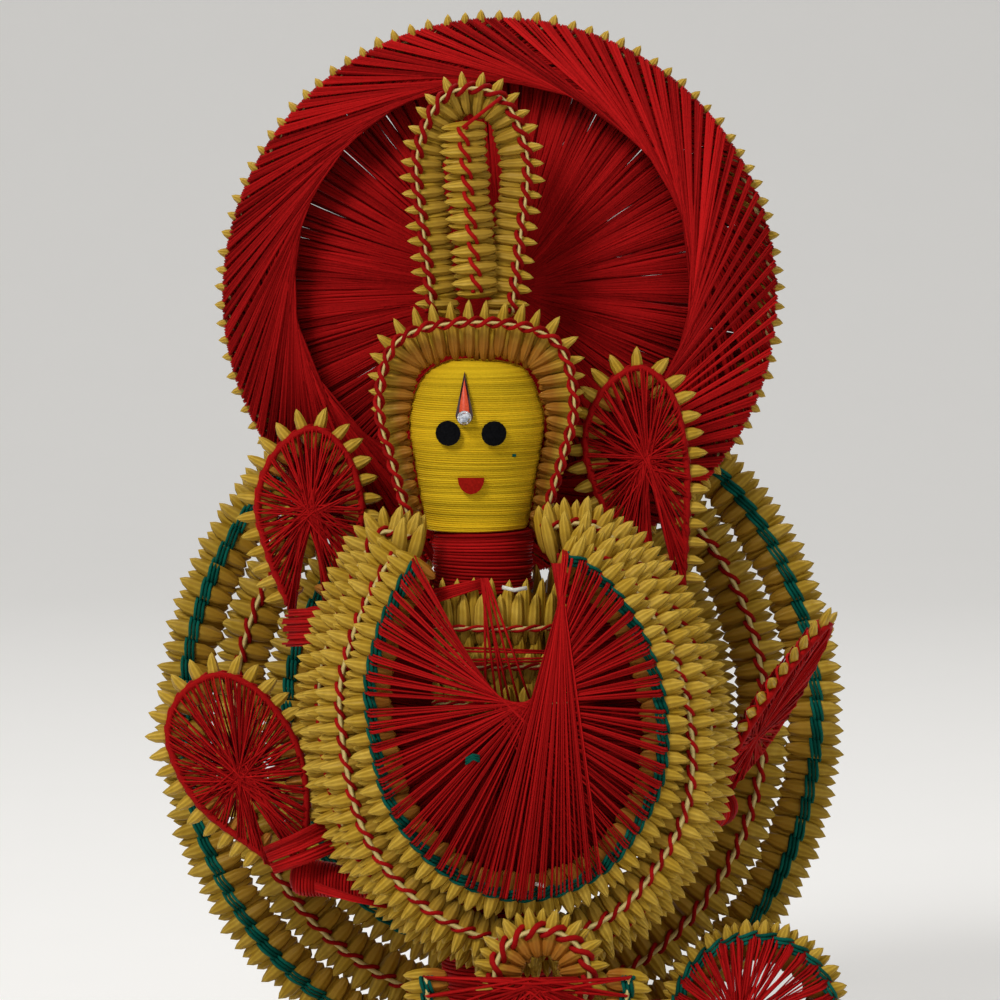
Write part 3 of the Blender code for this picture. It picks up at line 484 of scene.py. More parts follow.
def group_with(name, inputs, outputs):
    group = bpy.data.node_groups.new(name, "ShaderNodeTree")
    for label, kind, value in inputs:
        socket = group.interface.new_socket(label, in_out="INPUT", socket_type=kind)
        socket.default_value = value
    for label, kind in outputs:
        group.interface.new_socket(label, in_out="OUTPUT", socket_type=kind)
    return group, group.nodes.new("NodeGroupInput"), group.nodes.new("NodeGroupOutput")


def feed(tree, socket, value):
    """Sets a socket to a number or a colour, or links an output to it."""
    if isinstance(value, (int, float)):
        socket.default_value = value
    elif isinstance(value, tuple):
        socket.default_value = (*value[:3], 1.0)
    else:
        tree.links.new(value, socket)


def math_node(tree, kind, first, second=0.0, clamp=False):
    node = tree.nodes.new("ShaderNodeMath")
    node.operation = kind
    node.use_clamp = clamp
    feed(tree, node.inputs[0], first)
    feed(tree, node.inputs[1], second)
    return node.outputs[0]


def mix_node(tree, factor, first, second):
    node = tree.nodes.new("ShaderNodeMix")
    node.data_type = "RGBA"
    for number, value in ((0, factor), (6, first), (7, second)):
        feed(tree, node.inputs[number], value)
    return node.outputs[2]


def speckle_group():
    """Uneven colour and fine relief at one scale, for husk, straw, felt and thread alike."""
    made = bpy.data.node_groups.get("uneven_growth")
    if made:
        return made
    made, start, end = group_with(
        "uneven_growth",
        [("Scale", "NodeSocketFloat", 900.0), ("Contrast", "NodeSocketFloat", 1.0)],
        [("Mask", "NodeSocketFloat"), ("Height", "NodeSocketFloat")],
    )
    place = made.nodes.new("ShaderNodeTexCoord")
    noise = made.nodes.new("ShaderNodeTexNoise")
    noise.inputs["Detail"].default_value = 4.0
    made.links.new(place.outputs["Object"], noise.inputs["Vector"])
    made.links.new(start.outputs["Scale"], noise.inputs["Scale"])
    centred = math_node(made, "SUBTRACT", noise.outputs["Fac"], 0.5)
    strong = math_node(made, "MULTIPLY", centred, start.outputs["Contrast"])
    made.links.new(math_node(made, "ADD", strong, 0.5, True), end.inputs["Mask"])
    made.links.new(noise.outputs["Fac"], end.inputs["Height"])
    return made


def husk_group():
    """The husk's long ridges and its points, from the map round and along a grain."""
    made = bpy.data.node_groups.get("husk_ridges")
    if made:
        return made
    made, start, end = group_with(
        "husk_ridges",
        [("Ridges", "NodeSocketFloat", 6.0)],
        [("Ridge", "NodeSocketFloat"), ("Along", "NodeSocketFloat"), ("Point", "NodeSocketFloat")],
    )
    husk_map = made.nodes.new("ShaderNodeUVMap")
    husk_map.uv_map = "husk_map"
    split = made.nodes.new("ShaderNodeSeparateXYZ")
    made.links.new(husk_map.outputs["UV"], split.inputs[0])
    turn = math_node(made, "MULTIPLY", split.outputs["X"], start.outputs["Ridges"])
    wave = math_node(made, "SINE", math_node(made, "MULTIPLY", turn, math.tau))
    half = math_node(made, "MULTIPLY", wave, 0.5)
    made.links.new(math_node(made, "ADD", half, 0.5), end.inputs["Ridge"])
    made.links.new(split.outputs["Y"], end.inputs["Along"])
    far = math_node(made, "SUBTRACT", split.outputs["Y"], 0.8)
    made.links.new(math_node(made, "MULTIPLY", far, 5.0, True), end.inputs["Point"])
    return made


def start_material(name, paint):
    """The material of a name: made new and painted by a function of its tree and surface."""
    made = bpy.data.materials.get(name)
    if made:
        return made
    made = bpy.data.materials.new(name)
    made.use_nodes = True
    paint(made.node_tree, made.node_tree.nodes["Principled BSDF"])
    return made


def set_values(surface, **values):
    """Sets the surface's own numbers and colours, with _ for a space in their names."""
    for name, value in values.items():
        surface.inputs[name.replace("_", " ")].default_value = value


def use_group(tree, group, **values):
    node = tree.nodes.new("ShaderNodeGroup")
    node.node_tree = group
    for name, value in values.items():
        node.inputs[name].default_value = value
    return node


def relief(tree, surface, height, distance, strength=1.0):
    bump = tree.nodes.new("ShaderNodeBump")
    bump.inputs["Distance"].default_value = distance
    bump.inputs["Strength"].default_value = strength
    tree.links.new(height, bump.inputs["Height"])
    tree.links.new(bump.outputs["Normal"], surface.inputs["Normal"])


def tone_of(tree):
    node = tree.nodes.new("ShaderNodeAttribute")
    node.attribute_name = "tone"
    return node.outputs["Fac"]


def husk_material(name, inner, dim=1.0):
    """Husk whose inner end takes one colour, whose furrows take painted shade and whose outer point is pale.
    The inner colour is painted shade at the tie, with red dye stain beside red thread; dim darkens the whole
    husk as painted shade.
    """
    look = grains()
    body, light = (tuple(channel * dim for channel in shade) for shade in (look.husk, look.pale))

    def paint(tree, surface):
        ridges = use_group(tree, husk_group())
        growth = use_group(tree, speckle_group(), Scale=650.0, Contrast=1.6)
        tone = math_node(tree, "MULTIPLY", tone_of(tree), growth.outputs["Mask"])
        lit = mix_node(tree, math_node(tree, "ADD", tone, 0.12, True), body, light)
        # Painted shade in the furrows between the ridges, towards the shaded husk colour
        furrow = math_node(tree, "SUBTRACT", 1.0, ridges.outputs["Ridge"])
        furrow_shaded = mix_node(tree, math_node(tree, "MULTIPLY", furrow, 0.42), lit, tuple(look.shaded))
        # Inner end towards the tie: painted shade, with red dye stain where the inner colour is red-brown
        near_tie = math_node(tree, "SUBTRACT", 0.62, ridges.outputs["Along"])
        inward = math_node(tree, "MULTIPLY", near_tie, 3.2, True)
        stain_and_shade = mix_node(tree, math_node(tree, "MULTIPLY", inward, 0.85), furrow_shaded, tuple(inner))
        pointed = math_node(tree, "MULTIPLY", ridges.outputs["Point"], 0.55)
        feed(tree, surface.inputs["Base Color"], mix_node(tree, pointed, stain_and_shade, light))
        rough = math_node(tree, "MULTIPLY", growth.outputs["Mask"], 0.22)
        feed(tree, surface.inputs["Roughness"], math_node(tree, "ADD", rough, 0.3))
        set_values(surface, Specular_IOR_Level=0.22, Specular_Tint=(1.0, 0.8, 0.4, 1.0))
        relief(tree, surface, ridges.outputs["Ridge"], 0.16 * MM, 0.8)

    return start_material(name, paint)


def shades(colour, share):
    """A darker and a lighter shade of a colour."""
    return (tuple(channel * (1 - share) for channel in colour),
            tuple(min(1.0, channel * (1 + share)) for channel in colour))


def thread_material(name, colour, roughness=0.5, contrast=0.6, sheen=0.0):
    """Silky thread: each strand has its own brightness, and a soft sheen."""
    dark, light = shades(colour, contrast)

    def paint(tree, surface):
        growth = use_group(tree, speckle_group(), Scale=2600.0, Contrast=1.3)
        uneven = math_node(tree, "MULTIPLY", growth.outputs["Mask"], 0.4)
        tone = math_node(tree, "SUBTRACT", uneven, 0.2)
        strand = math_node(tree, "ADD", tone_of(tree), tone, True)
        feed(tree, surface.inputs["Base Color"], mix_node(tree, strand, dark, light))
        gloss = (*(min(1.0, 2.2 * channel + 0.05) for channel in colour), 1.0)
        set_values(surface, Roughness=roughness, Sheen_Weight=sheen, Sheen_Roughness=0.4,
                   Sheen_Tint=(*light, 1.0), Specular_IOR_Level=0.08, Specular_Tint=gloss)
        relief(tree, surface, growth.outputs["Height"], 0.02 * MM, 0.4)

    return start_material(name, paint)


def plain_material(name, colour, roughness, scale, contrast=0.3, height=0.05 * MM):
    """Straw, felt or glue: one colour made uneven, with fine relief."""
    dark, light = shades(colour, contrast)

    def paint(tree, surface):
        growth = use_group(tree, speckle_group(), Scale=scale, Contrast=1.5)
        feed(tree, surface.inputs["Base Color"], mix_node(tree, growth.outputs["Mask"], dark, light))
        set_values(surface, Roughness=roughness, Specular_IOR_Level=0.4 if roughness < 0.85 else 0.0)
        relief(tree, surface, growth.outputs["Height"], height, 0.6)

    return start_material(name, paint)


# Golden husk: its darker ochre inner ends are painted shade at the tie
def golden_husk():
    return husk_material("golden_husk", (0.34, 0.19, 0.02))


# Red dye stain and painted shade on the inner ends, for chains beside red thread
def stained_and_shaded_husk():
    return husk_material("stained_and_shaded_husk", grains().stain_and_shade)


# Arch husk: its red-brown inner ends are red dye stain and painted shade at the tie
def arch_husk():
    return husk_material("arch_husk", (0.3, 0.1, 0.012))


# Shaded husk: the husk dimmed to 0.8 with a darker inner end, painted shade for the wreath behind the figure
# and the torso's core
def shaded_husk():
    return husk_material("shaded_husk", (0.3, 0.15, 0.012), 0.8)


def red_thread():
    return thread_material("crimson_silk", threads().red)


def green_thread():
    return thread_material("green_silk", threads().green)


def straw_strip():
    return plain_material("straw_strip", grains().straw, 0.45, 1500.0)


# Chains of grains


def grain_row(dice, places, normals, depth, reach, inner, width, lean=0.0, fold=0.0,
              tones=(0.25, 1.0)):
    """Grains across a tie. lean takes outer points back, fold takes inner points back."""
    items = []
    for place, normal in zip(places, normals):
        out = (reach(place, normal) if callable(reach) else reach) * dice.uniform(0.92, 1.04)
        inward = (inner(place, normal) if callable(inner) else inner) * dice.uniform(0.9, 1.06)
        back = lean(place, normal) if callable(lean) else lean
        tip = at_depth(place + normal * out, depth + back + dice.uniform(-0.3, 0.3) * MM)
        foot = at_depth(place - normal * inward, depth + fold + dice.uniform(-0.25, 0.25) * MM)
        skew = at_depth(-aside(normal), 0.0) * dice.uniform(-0.35, 0.35) * MM
        along = tip + skew - foot
        across = Vector((normal.y, dice.uniform(-0.35, 0.35), -normal.x))
        middle = (tip + skew + foot) / 2
        items.append(copy_grain(middle, along, across, along.length,
                                width * dice.uniform(0.9, 1.05), dice.uniform(*tones)))
    return items


def tie_paths(line, closed, grain_count, depth, bulge, half_depth, beside):
    """Two strands that twine over and under each grain in turn, each of threads side by side."""
    steps = 4
    places = spread(line, grain_count * steps, closed)
    normals = outward(places, closed)
    paths = []
    for strand in range(2):
        for shift in beside:
            path = []
            for index, (place, normal) in enumerate(zip(places, normals)):
                phase = math.pi * (index / steps + 0.5 + strand)
                path.append(at_depth(place + normal * (bulge * math.sin(phase) + shift),
                                     depth - half_depth * math.cos(phase)))
            paths.append(path)
    return paths


def even_count(line, closed, pitch=None):
    """How many grains a chain takes: an even number, so that its tie closes."""
    count = round(line_length(line, closed) / (pitch or grains().pitch))
    return count + count % 2


def chain(name, nodes, line, closed, front, reach, inner, husk, tie="red", width=None, pitch=None,
          lean=0.0, fold=0.0, layers=2, place_in=None, strip=True, tie_share=1.0, rear_reach=None):
    """A tied chain: its grains, the straw strip along them and the twined tie."""
    dice = random.Random(name)
    width = width or grains().width
    count = even_count(line, closed, pitch)
    fine = spread(line, 2 * count, closed)
    normals = outward(fine, closed)
    depth = front + 0.5 * MM + 0.5 * grains().thickness
    row = grain_row(dice, fine[1::2], normals[1::2], depth, reach, inner, width, lean, fold)
    if layers == 2:
        behind = depth + REAR_LAYER * grains().thickness
        rear = reach * 0.9 if rear_reach is None else rear_reach
        # The rear row's tones are low: painted shade behind the front row
        row += grain_row(dice, fine[::2], normals[::2], behind, rear, inner, width, lean, fold, (0.0, 0.3))
    pieces = [settle(join(row, name + "_grains"), husk, "straw", nodes)]
    if tie is None:
        return
    green = tie == "green"
    beside, bulge, thick = [0.0], 0.8 * MM * tie_share, threads().tie * tie_share
    if green:
        beside, bulge, thick = [-GREEN_TIE, 0.0, GREEN_TIE], 0.3 * MM, GREEN_TIE
    half_depth = 0.5 * grains().thickness + 0.3 * MM
    twined = tie_paths(line, closed, count, depth, bulge, half_depth, beside)
    tones = [dice.uniform(0.3, 0.8) for _ in twined]
    wound = strands(name + "_tie", twined, thick, tones, 4 if green else 6, closed)
    pieces.append(settle(wound, green_thread() if green else red_thread(), "red_thread"))
    if strip:
        strip_line = [at_depth(p, front + 0.6 * MM) for p in spread(line, 3 * count, closed)]
        across = STRIPS[strip]
        under = strands(name + "_strip", [strip_line], across, None, 6 if strip == "red" else 4, closed)
        made_of = (red_thread(), "red_thread") if strip == "red" else (straw_strip(), "straw")
        pieces.append(settle(under, *made_of))
    if place_in:
        for piece in pieces:
            piece.data.transform(place_in)


def gaps_along(line, closed):
    """The gaps between a chain's grains, and the outward normal at each."""
    places = spread(line, even_count(line, closed), closed)
    return places, outward(places, closed)


def winding(name, profile, pitch, thickness, material, slot, place_in, depth_share=1.0, points=40,
            wander=0.0, contrast=0.9):
    """Thread wound round a body, at even steps along its profile of (radius, height)."""
    dice = random.Random(name)
    line = [Vector(p) for p in profile]
    turns = max(2, round(line_length(line, False) / pitch))
    places = spread(line, turns * points, False)
    path, tones = [], []
    level = [dice.random() for _ in range(turns + 2)]
    lift = [dice.uniform(-1, 1) for _ in range(turns + 2)]
    for index, place in enumerate(places):
        turn, share = divmod(index / points, 1.0)
        turn = int(turn)
        angle = math.tau * index / points
        raised = lift[turn] * (1 - share) + lift[turn + 1] * share
        radius = max(0.05 * MM, place.x + raised * wander)
        sway = wander * 1.5 * math.sin(angle * 0.93 + turn * 0.21)
        path.append(place_in @ Vector((radius * math.cos(angle), radius * depth_share * math.sin(angle),
                                       place.y + (sway if place.x > 2 * MM else 0.0))))
        tone = level[turn] * (1 - share) + level[turn + 1] * share
        tones.append(0.5 + contrast * (tone - 0.5))
    return settle(strands(name, [path], thickness, [tones], 4), material, slot)


def turned_core(name, profile, material, slot, nodes, place_in, sides=32, depth_share=1.0):
    """A body of revolution under a winding, extruded up ring by ring."""
    deselect()
    bpy.ops.mesh.primitive_circle_add(vertices=sides, radius=profile[0][0], fill_type="NGON",
                                      location=(0, 0, 0))
    edit_all()
    bpy.ops.transform.translate(value=(0, 0, profile[0][1]))
    for (last, low), (wide, level) in zip(profile, profile[1:]):
        extrude((0, 0, level - low))
        share = wide / last
        bpy.ops.transform.resize(value=(share, share, 1), center_override=(0, 0, level))
    bpy.ops.mesh.select_all(action="SELECT")
    bpy.ops.transform.resize(value=(1, depth_share, 1), center_override=(0, 0, 0))
    finish_edit()
    core = bpy.context.object
    core.name = core.data.name = name
    core.data.transform(place_in)
    # Painted shade: the core is toned dark where it shows between turns or grains
    add_tones(core.data, [CORE_SHADE_TONE] * len(core.data.vertices))
    return settle(core, material, slot, nodes)


def wound_post(name, node, pitch, thickness, wander, contrast=0.9, inset=0.3, across=False):
    """A straight bundle wound with red thread in the place of its node, upright or lying across."""
    low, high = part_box(node)
    middle = (low + high) / 2
    tall, radius, foot = high.z - low.z, (high.x - low.x) / 2, Vector((middle.x, middle.y, low.z))
    place_in, detail = Matrix.Translation(foot), {}
    if across:
        tall, radius, foot = high.x - low.x, (high.z - low.z) / 2, Vector((low.x, middle.y, middle.z))
        place_in, detail = Matrix.Translation(foot) @ Matrix.Rotation(math.pi / 2, 4, "Y"), {"points": 20}
    core = radius - 0.5 * MM
    turned_core(name + "_core", [(core, 0.0), (core, tall)], red_thread(), "red_thread", [node],
                place_in, 16 if across else 32)
    skin, end = radius - inset * MM, 0.3 * MM
    winding(name + "_thread", [(skin, end), (skin, tall - end)], pitch * MM, thickness * MM,
            red_thread(), "red_thread", place_in, wander=wander * MM, contrast=contrast, **detail)


def head_half_width(height):
    """Half the head's width at a height above the chin."""
    shares = smooth_line([
        Vector((0.0, HEAD_CHIN)),
        Vector((0.35 * HEAD_HEIGHT, 0.9 * HEAD_CHEEK)),
        Vector((0.68 * HEAD_HEIGHT, HEAD_CHEEK)),
        Vector((0.93 * HEAD_HEIGHT, HEAD_CROWN)),
        Vector((HEAD_HEIGHT, 0.55 * HEAD_CROWN)),
    ])
    for low, high in zip(shares, shares[1:]):
        if low.x <= height <= high.x:
            return low.lerp(high, (height - low.x) / (high.x - low.x)).y
    return shares[0].y if height < 0 else shares[-1].y


def face_front(across, height):
    """Where the head's front surface is, from a place on the face."""
    half = head_half_width(height)
    share = min(0.98, abs(across) / half)
    return HEAD.y - half * HEAD_DEPTH_SHARE * math.sqrt(1 - share * share)


# Operators, one for each piece or group of like pieces


class FIGURE_OT_halo(bpy.types.Operator):
    """The round halo: a hoop of grain points, crossed threads in front and spokes behind"""

    bl_idname = "figure.halo"
    bl_label = "Halo"

    # The round opening that the crossed strands touch, in millimetres, and the arc where they
    # are sparse, in radians; then how many strands there are in a gap, in a sparse one and in a spoke
    OPENING, OPENING_RADIUS = mm(-1.5, 155.2), 37.6
    SPARSE_FROM, SPARSE_TO = -0.25, 0.6
    STRANDS, SPARSE_STRANDS, SPOKE_STRANDS = 5, 3, 8

    def execute(self, context):
        low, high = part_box("halo_grain_hoop")
        line = ellipse(HALO, HALO_RADIUS, HALO_RADIUS)
        chain("halo_front", ["halo_grain_hoop"], line, True, low.y, 3.0 * MM, 4.6 * MM,
              stained_and_shaded_husk(), width=2.5 * MM, lean=0.4 * MM, fold=0.6 * MM, layers=1)
        chain("halo_back", [], line, True, high.y - 3.2 * MM, 1.2 * MM, 3.4 * MM,
              stained_and_shaded_husk(), width=2.5 * MM, layers=1)
        self.crossed_threads()
        self.spokes()
        return {"FINISHED"}

    def crossed_threads(self):
        """Strands from rim to rim, each touching the round opening, laid over one another."""
        laid = RedStrands("iris")
        dice = laid.dice
        front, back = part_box("halo_thread_band")[0].y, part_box("halo_thread_spokes")[1].y
        for gap in range(HALO_GAPS):
            angle = -math.tau * gap / HALO_GAPS
            clump = dice.uniform(-0.3, 0.3)
            sparse = self.SPARSE_FROM < math.atan2(math.sin(angle), math.cos(angle)) < self.SPARSE_TO
            for strand in range(self.SPARSE_STRANDS if sparse else self.STRANDS):
                place = angle + (strand - 2) * 0.009 + dice.uniform(-0.003, 0.003)
                out = Vector((math.cos(place), math.sin(place)))
                start, rim = (HALO + out * (HALO_RADIUS + step * MM) for step in (0.9, 1.2))
                to_opening = self.OPENING - start
                radius = (self.OPENING_RADIUS + clump * 1.5 + dice.uniform(-0.5, 0.5)) * MM
                along = to_opening.normalized()
                along.rotate(Matrix.Rotation(math.asin(radius / to_opening.length), 2))
                end = start + along * (2 * along.dot(HALO - start))
                over = [(start.lerp(end, share), front + (0.1 + 1.0 * share) * MM)
                        for share in (0.0, 0.5, 1.0)]
                laid.add((rim, back - 0.5 * MM), (rim, front + 0.9 * MM), *over,
                         tone=held(0.5 + clump + dice.uniform(-0.25, 0.25)))
        laid.finish("halo_crossed_threads", 1.0, ["halo_thread_band"])

    def spokes(self):
        """Two layers of strands from the rim to the hub, the nearer one at every second gap."""
        laid = RedStrands("spokes")
        dice = laid.dice
        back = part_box("halo_thread_spokes")[1].y
        for gap in range(2 * HALO_GAPS):
            angle = -math.pi * gap / HALO_GAPS
            clump, near = dice.uniform(-0.2, 0.2), gap % 2
            depth = back - (0.3 + 0.9 * near) * MM
            for strand in range(self.SPOKE_STRANDS):
                place = angle + (strand - 3.5) * 0.0056 + dice.uniform(-0.004, 0.004)
                rim = HALO + Vector((math.cos(place), math.sin(place))) * (HALO_RADIUS + 1.1 * MM)
                hub = HALO_HUB + mm(dice.uniform(-1.2, 1.2), dice.uniform(-1.2, 1.2))
                # Painted shade: the spokes are toned darker than the crossed threads, the farther layer
                # darker still
                laid.add((rim, depth), (hub, depth - 0.3 * MM),
                         tone=held(0.25 + 0.2 * near + clump + dice.uniform(-0.2, 0.2)))
        laid.finish("halo_spoke_threads", 1.1, ["halo_thread_spokes"])


class FIGURE_OT_crown(bpy.types.Operator):
    """The tall crown: an arch of small grains with a tied spine in its middle"""

    bl_idname = "figure.crown"
    bl_label = "Crown"

    def execute(self, context):
        drop = Vector((0.0, -2.6 * MM))
        points = in_mm(CROWN_LINE, Vector((CROWN_X, CROWN_FOOT)))
        line = smooth_line([points[0] + drop] + points + [points[-1] + drop])
        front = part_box("crown_arch")[0].y
        chain("crown_arch", ["crown_arch"], line, False, front, 3.2 * MM, 5.4 * MM, golden_husk(),
              width=2.3 * MM, pitch=2.95 * MM, fold=1.4 * MM, strip="thin", tie_share=1.1,
              rear_reach=0.2 * MM)
        low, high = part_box("crown_spine")
        spine = [Vector((-4.2 * MM, low.z + 0.5 * MM)), Vector((-6.9 * MM, high.z))]
        chain("crown_spine", ["crown_spine"], smooth_line(spine), False, front - 0.6 * MM, 4.7 * MM,
              4.4 * MM, golden_husk(), width=2.5 * MM, pitch=2.9 * MM, strip=False)
        top = Vector((CROWN_X + 5.5 * MM, CROWN_FOOT + 37.0 * MM))
        strand = [at_depth(spine[-1], front - 0.4 * MM), at_depth(top, front - 0.1 * MM)]
        wound = strands("crown_stay", [strand], threads().tie, [0.6])
        settle(wound, red_thread(), "red_thread")
        return {"FINISHED"}


class FIGURE_OT_face_arch(bpy.types.Operator):
    """The funnel of grains round the face"""

    bl_idname = "figure.face_arch"
    bl_label = "Face arch"

    # Heights above the chin between which the grains turn from the cheeks' way to the brow's
    CHEEKS, BROW = 20.0 * MM, 35.0 * MM

    def execute(self, context):
        base = Vector((HEAD.x, HEAD.z))
        line = smooth_line(in_mm(FACE_ARCH, base))
        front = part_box("face_arch")[0].y

        def to_head(place, normal):
            reach = 1.0 * MM
            while reach < 7.0 * MM:
                spot = place - normal * (reach + 0.4 * MM) - base
                if abs(spot.x) < head_half_width(spot.y) * 0.97 and spot.y < HEAD_HEIGHT:
                    break
                reach += 0.2 * MM
            return reach

        def upright(place):
            """From 0 on the cheeks, where the grains turn back, to 1 over the head."""
            return held((place.y - base.y - self.CHEEKS) / (self.BROW - self.CHEEKS))

        chain("face_arch", ["face_arch"], line, False, front,
              lambda place, normal: (1.2 + 2.9 * upright(place)) * MM, to_head, arch_husk(),
              width=2.4 * MM, pitch=3.1 * MM, fold=2.6 * MM, strip="thin", rear_reach=0.2 * MM,
              lean=lambda place, normal: (3.9 - 2.4 * upright(place)) * MM)
        return {"FINISHED"}


class FIGURE_OT_head(bpy.types.Operator):
    """The head and neck wound with thread, and the felt face with its stone"""

    bl_idname = "figure.head"
    bl_label = "Head and neck"

    def execute(self, context):
        yellow = thread_material("yellow_silk", threads().yellow, 0.45, 0.3, 0.05)
        steps, place_in = 40, Matrix.Translation(HEAD)
        side = [(head_half_width(s / steps * HEAD_HEIGHT) - 0.2 * MM, s / steps * HEAD_HEIGHT)
                for s in range(steps + 1)]
        turned_core("head_core", [(1.0 * MM, 0.2 * MM)] + side[1:], yellow, "yellow_thread",
                    ["wound_head"], place_in, depth_share=HEAD_DEPTH_SHARE)
        profile = [(0.3 * MM, 0.25 * MM), (side[0][0], 0.25 * MM)] + side[1:] + [(0.3 * MM, HEAD_HEIGHT)]
        winding("head_thread", profile, 0.38 * MM, 0.5 * MM, yellow, "yellow_thread", place_in,
                HEAD_DEPTH_SHARE, wander=0.11 * MM)
        wound_post("neck", "wound_neck", 0.6, 0.72, 0.22, contrast=1.0)
        self.face()
        return {"FINISHED"}

    def face(self):
        black = plain_material("matte_black_felt", (0.006, 0.006, 0.007), 0.95, 2600.0, 0.6, 0.04 * MM)
        red = plain_material("matte_red_felt", (0.3, 0.01, 0.006), 0.9, 2600.0, 0.35, 0.04 * MM)
        cheek = Vector((2.6 * MM, face_front(2.6 * MM - HEAD.x, 124.2 * MM - HEAD.z), 124.2 * MM))
        side = Vector((0.35 * MM, 0.0, 0.0))
        speck = strands("green_speck", [[cheek - side, cheek + side]], 0.6 * MM, None, 6)
        settle(speck, green_thread(), "red_thread")
        outline = plain_material("mark_edge", (0.03, 0.006, 0.006), 0.6, 3000.0)
        fill = plain_material("mark_fill", (0.72, 0.07, 0.015), 0.45, 3000.0)
        silver = plain_material("silver", (0.6, 0.6, 0.62), 0.25, 3000.0, 0.15, 0.01 * MM)
        silver.node_tree.nodes["Principled BSDF"].inputs["Metallic"].default_value = 1.0
        stone = self.stone_material()
        for node, material in (("left_eye", black), ("right_eye", black), ("mouth", red),
                               ("forehead_mark", outline), ("forehead_stone", stone)):
            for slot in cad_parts[node].material_slots:
                slot.material = material
        self.mark_fill(fill)
        self.stone_setting(silver)

    def stone_material(self):
        def paint(tree, surface):
            facets = tree.nodes.new("ShaderNodeTexVoronoi")
            facets.inputs["Scale"].default_value = 1500.0
            place = tree.nodes.new("ShaderNodeTexCoord")
            feed(tree, facets.inputs["Vector"], place.outputs["Object"])
            # Painted reflections on the facets: pale in each cell's middle, dark at its edges
            facet_glints = mix_node(tree, facets.outputs["Distance"], (0.9, 0.93, 0.97), (0.25, 0.28, 0.33))
            feed(tree, surface.inputs["Base Color"], facet_glints)
            set_values(surface, Metallic=0.7, Roughness=0.08)
            relief(tree, surface, facets.outputs["Distance"], 0.2 * MM)

        return start_material("cut_stone", paint)

    def mark_fill(self, material):
        """A smaller drop inside the mark, stood a little off it."""
        deselect()
        low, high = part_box("forehead_mark")
        middle, bottom = (low.x + high.x) / 2, low.z
        bpy.ops.mesh.primitive_circle_add(vertices=20, radius=1.0 * MM, fill_type="TRIFAN",
                                          location=(0, 0, 0), rotation=(math.pi / 2, 0, 0))
        apply_place()
        drop = bpy.context.object
        drop.name = drop.data.name = "forehead_mark_fill"
        height = high.z - low.z - 1.6 * MM
        for corner in drop.data.vertices:
            if corner.co.z > 0:
                share = corner.co.z / MM
                corner.co.x *= (1 - share) * 0.4 + (1 - share * share) * 0.6
                corner.co.z = share * height * 0.86
        edit_all()
        extrude((0, -0.35 * MM, 0))
        finish_edit()
        start = bottom + 1.6 * MM
        for corner in drop.data.vertices:
            place_z = start + corner.co.z
            surface = face_front(middle - HEAD.x + corner.co.x, place_z - HEAD.z)
            corner.co = (middle + corner.co.x, surface - 1.35 * MM + corner.co.y * 0.8, place_z)
        settle(drop, material, "red_felt")

    def stone_setting(self, material):
        """A silver ring with six claws round the stone's foot."""
        low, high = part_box("forehead_stone")
        middle, items, claws = (low + high) / 2, [], 6
        deselect()
        bpy.ops.mesh.primitive_torus_add(major_radius=1.12 * MM, minor_radius=0.2 * MM,
                                         major_segments=24, minor_segments=8,
                                         location=(middle.x, high.y - 0.25 * MM, middle.z),
                                         rotation=(math.pi / 2, 0, 0))
        items.append(bpy.context.object)
        for claw in range(claws):
            angle = math.tau * claw / claws
            deselect()
            spot = (middle.x + 1.05 * MM * math.cos(angle), high.y - 0.5 * MM,
                    middle.z + 1.05 * MM * math.sin(angle))
            bpy.ops.mesh.primitive_uv_sphere_add(segments=8, ring_count=6, radius=0.22 * MM, location=spot)
            items.append(bpy.context.object)
        ring = only(join(items, "stone_setting"))
        apply_place()
        settle(ring, material, "clear_stone")


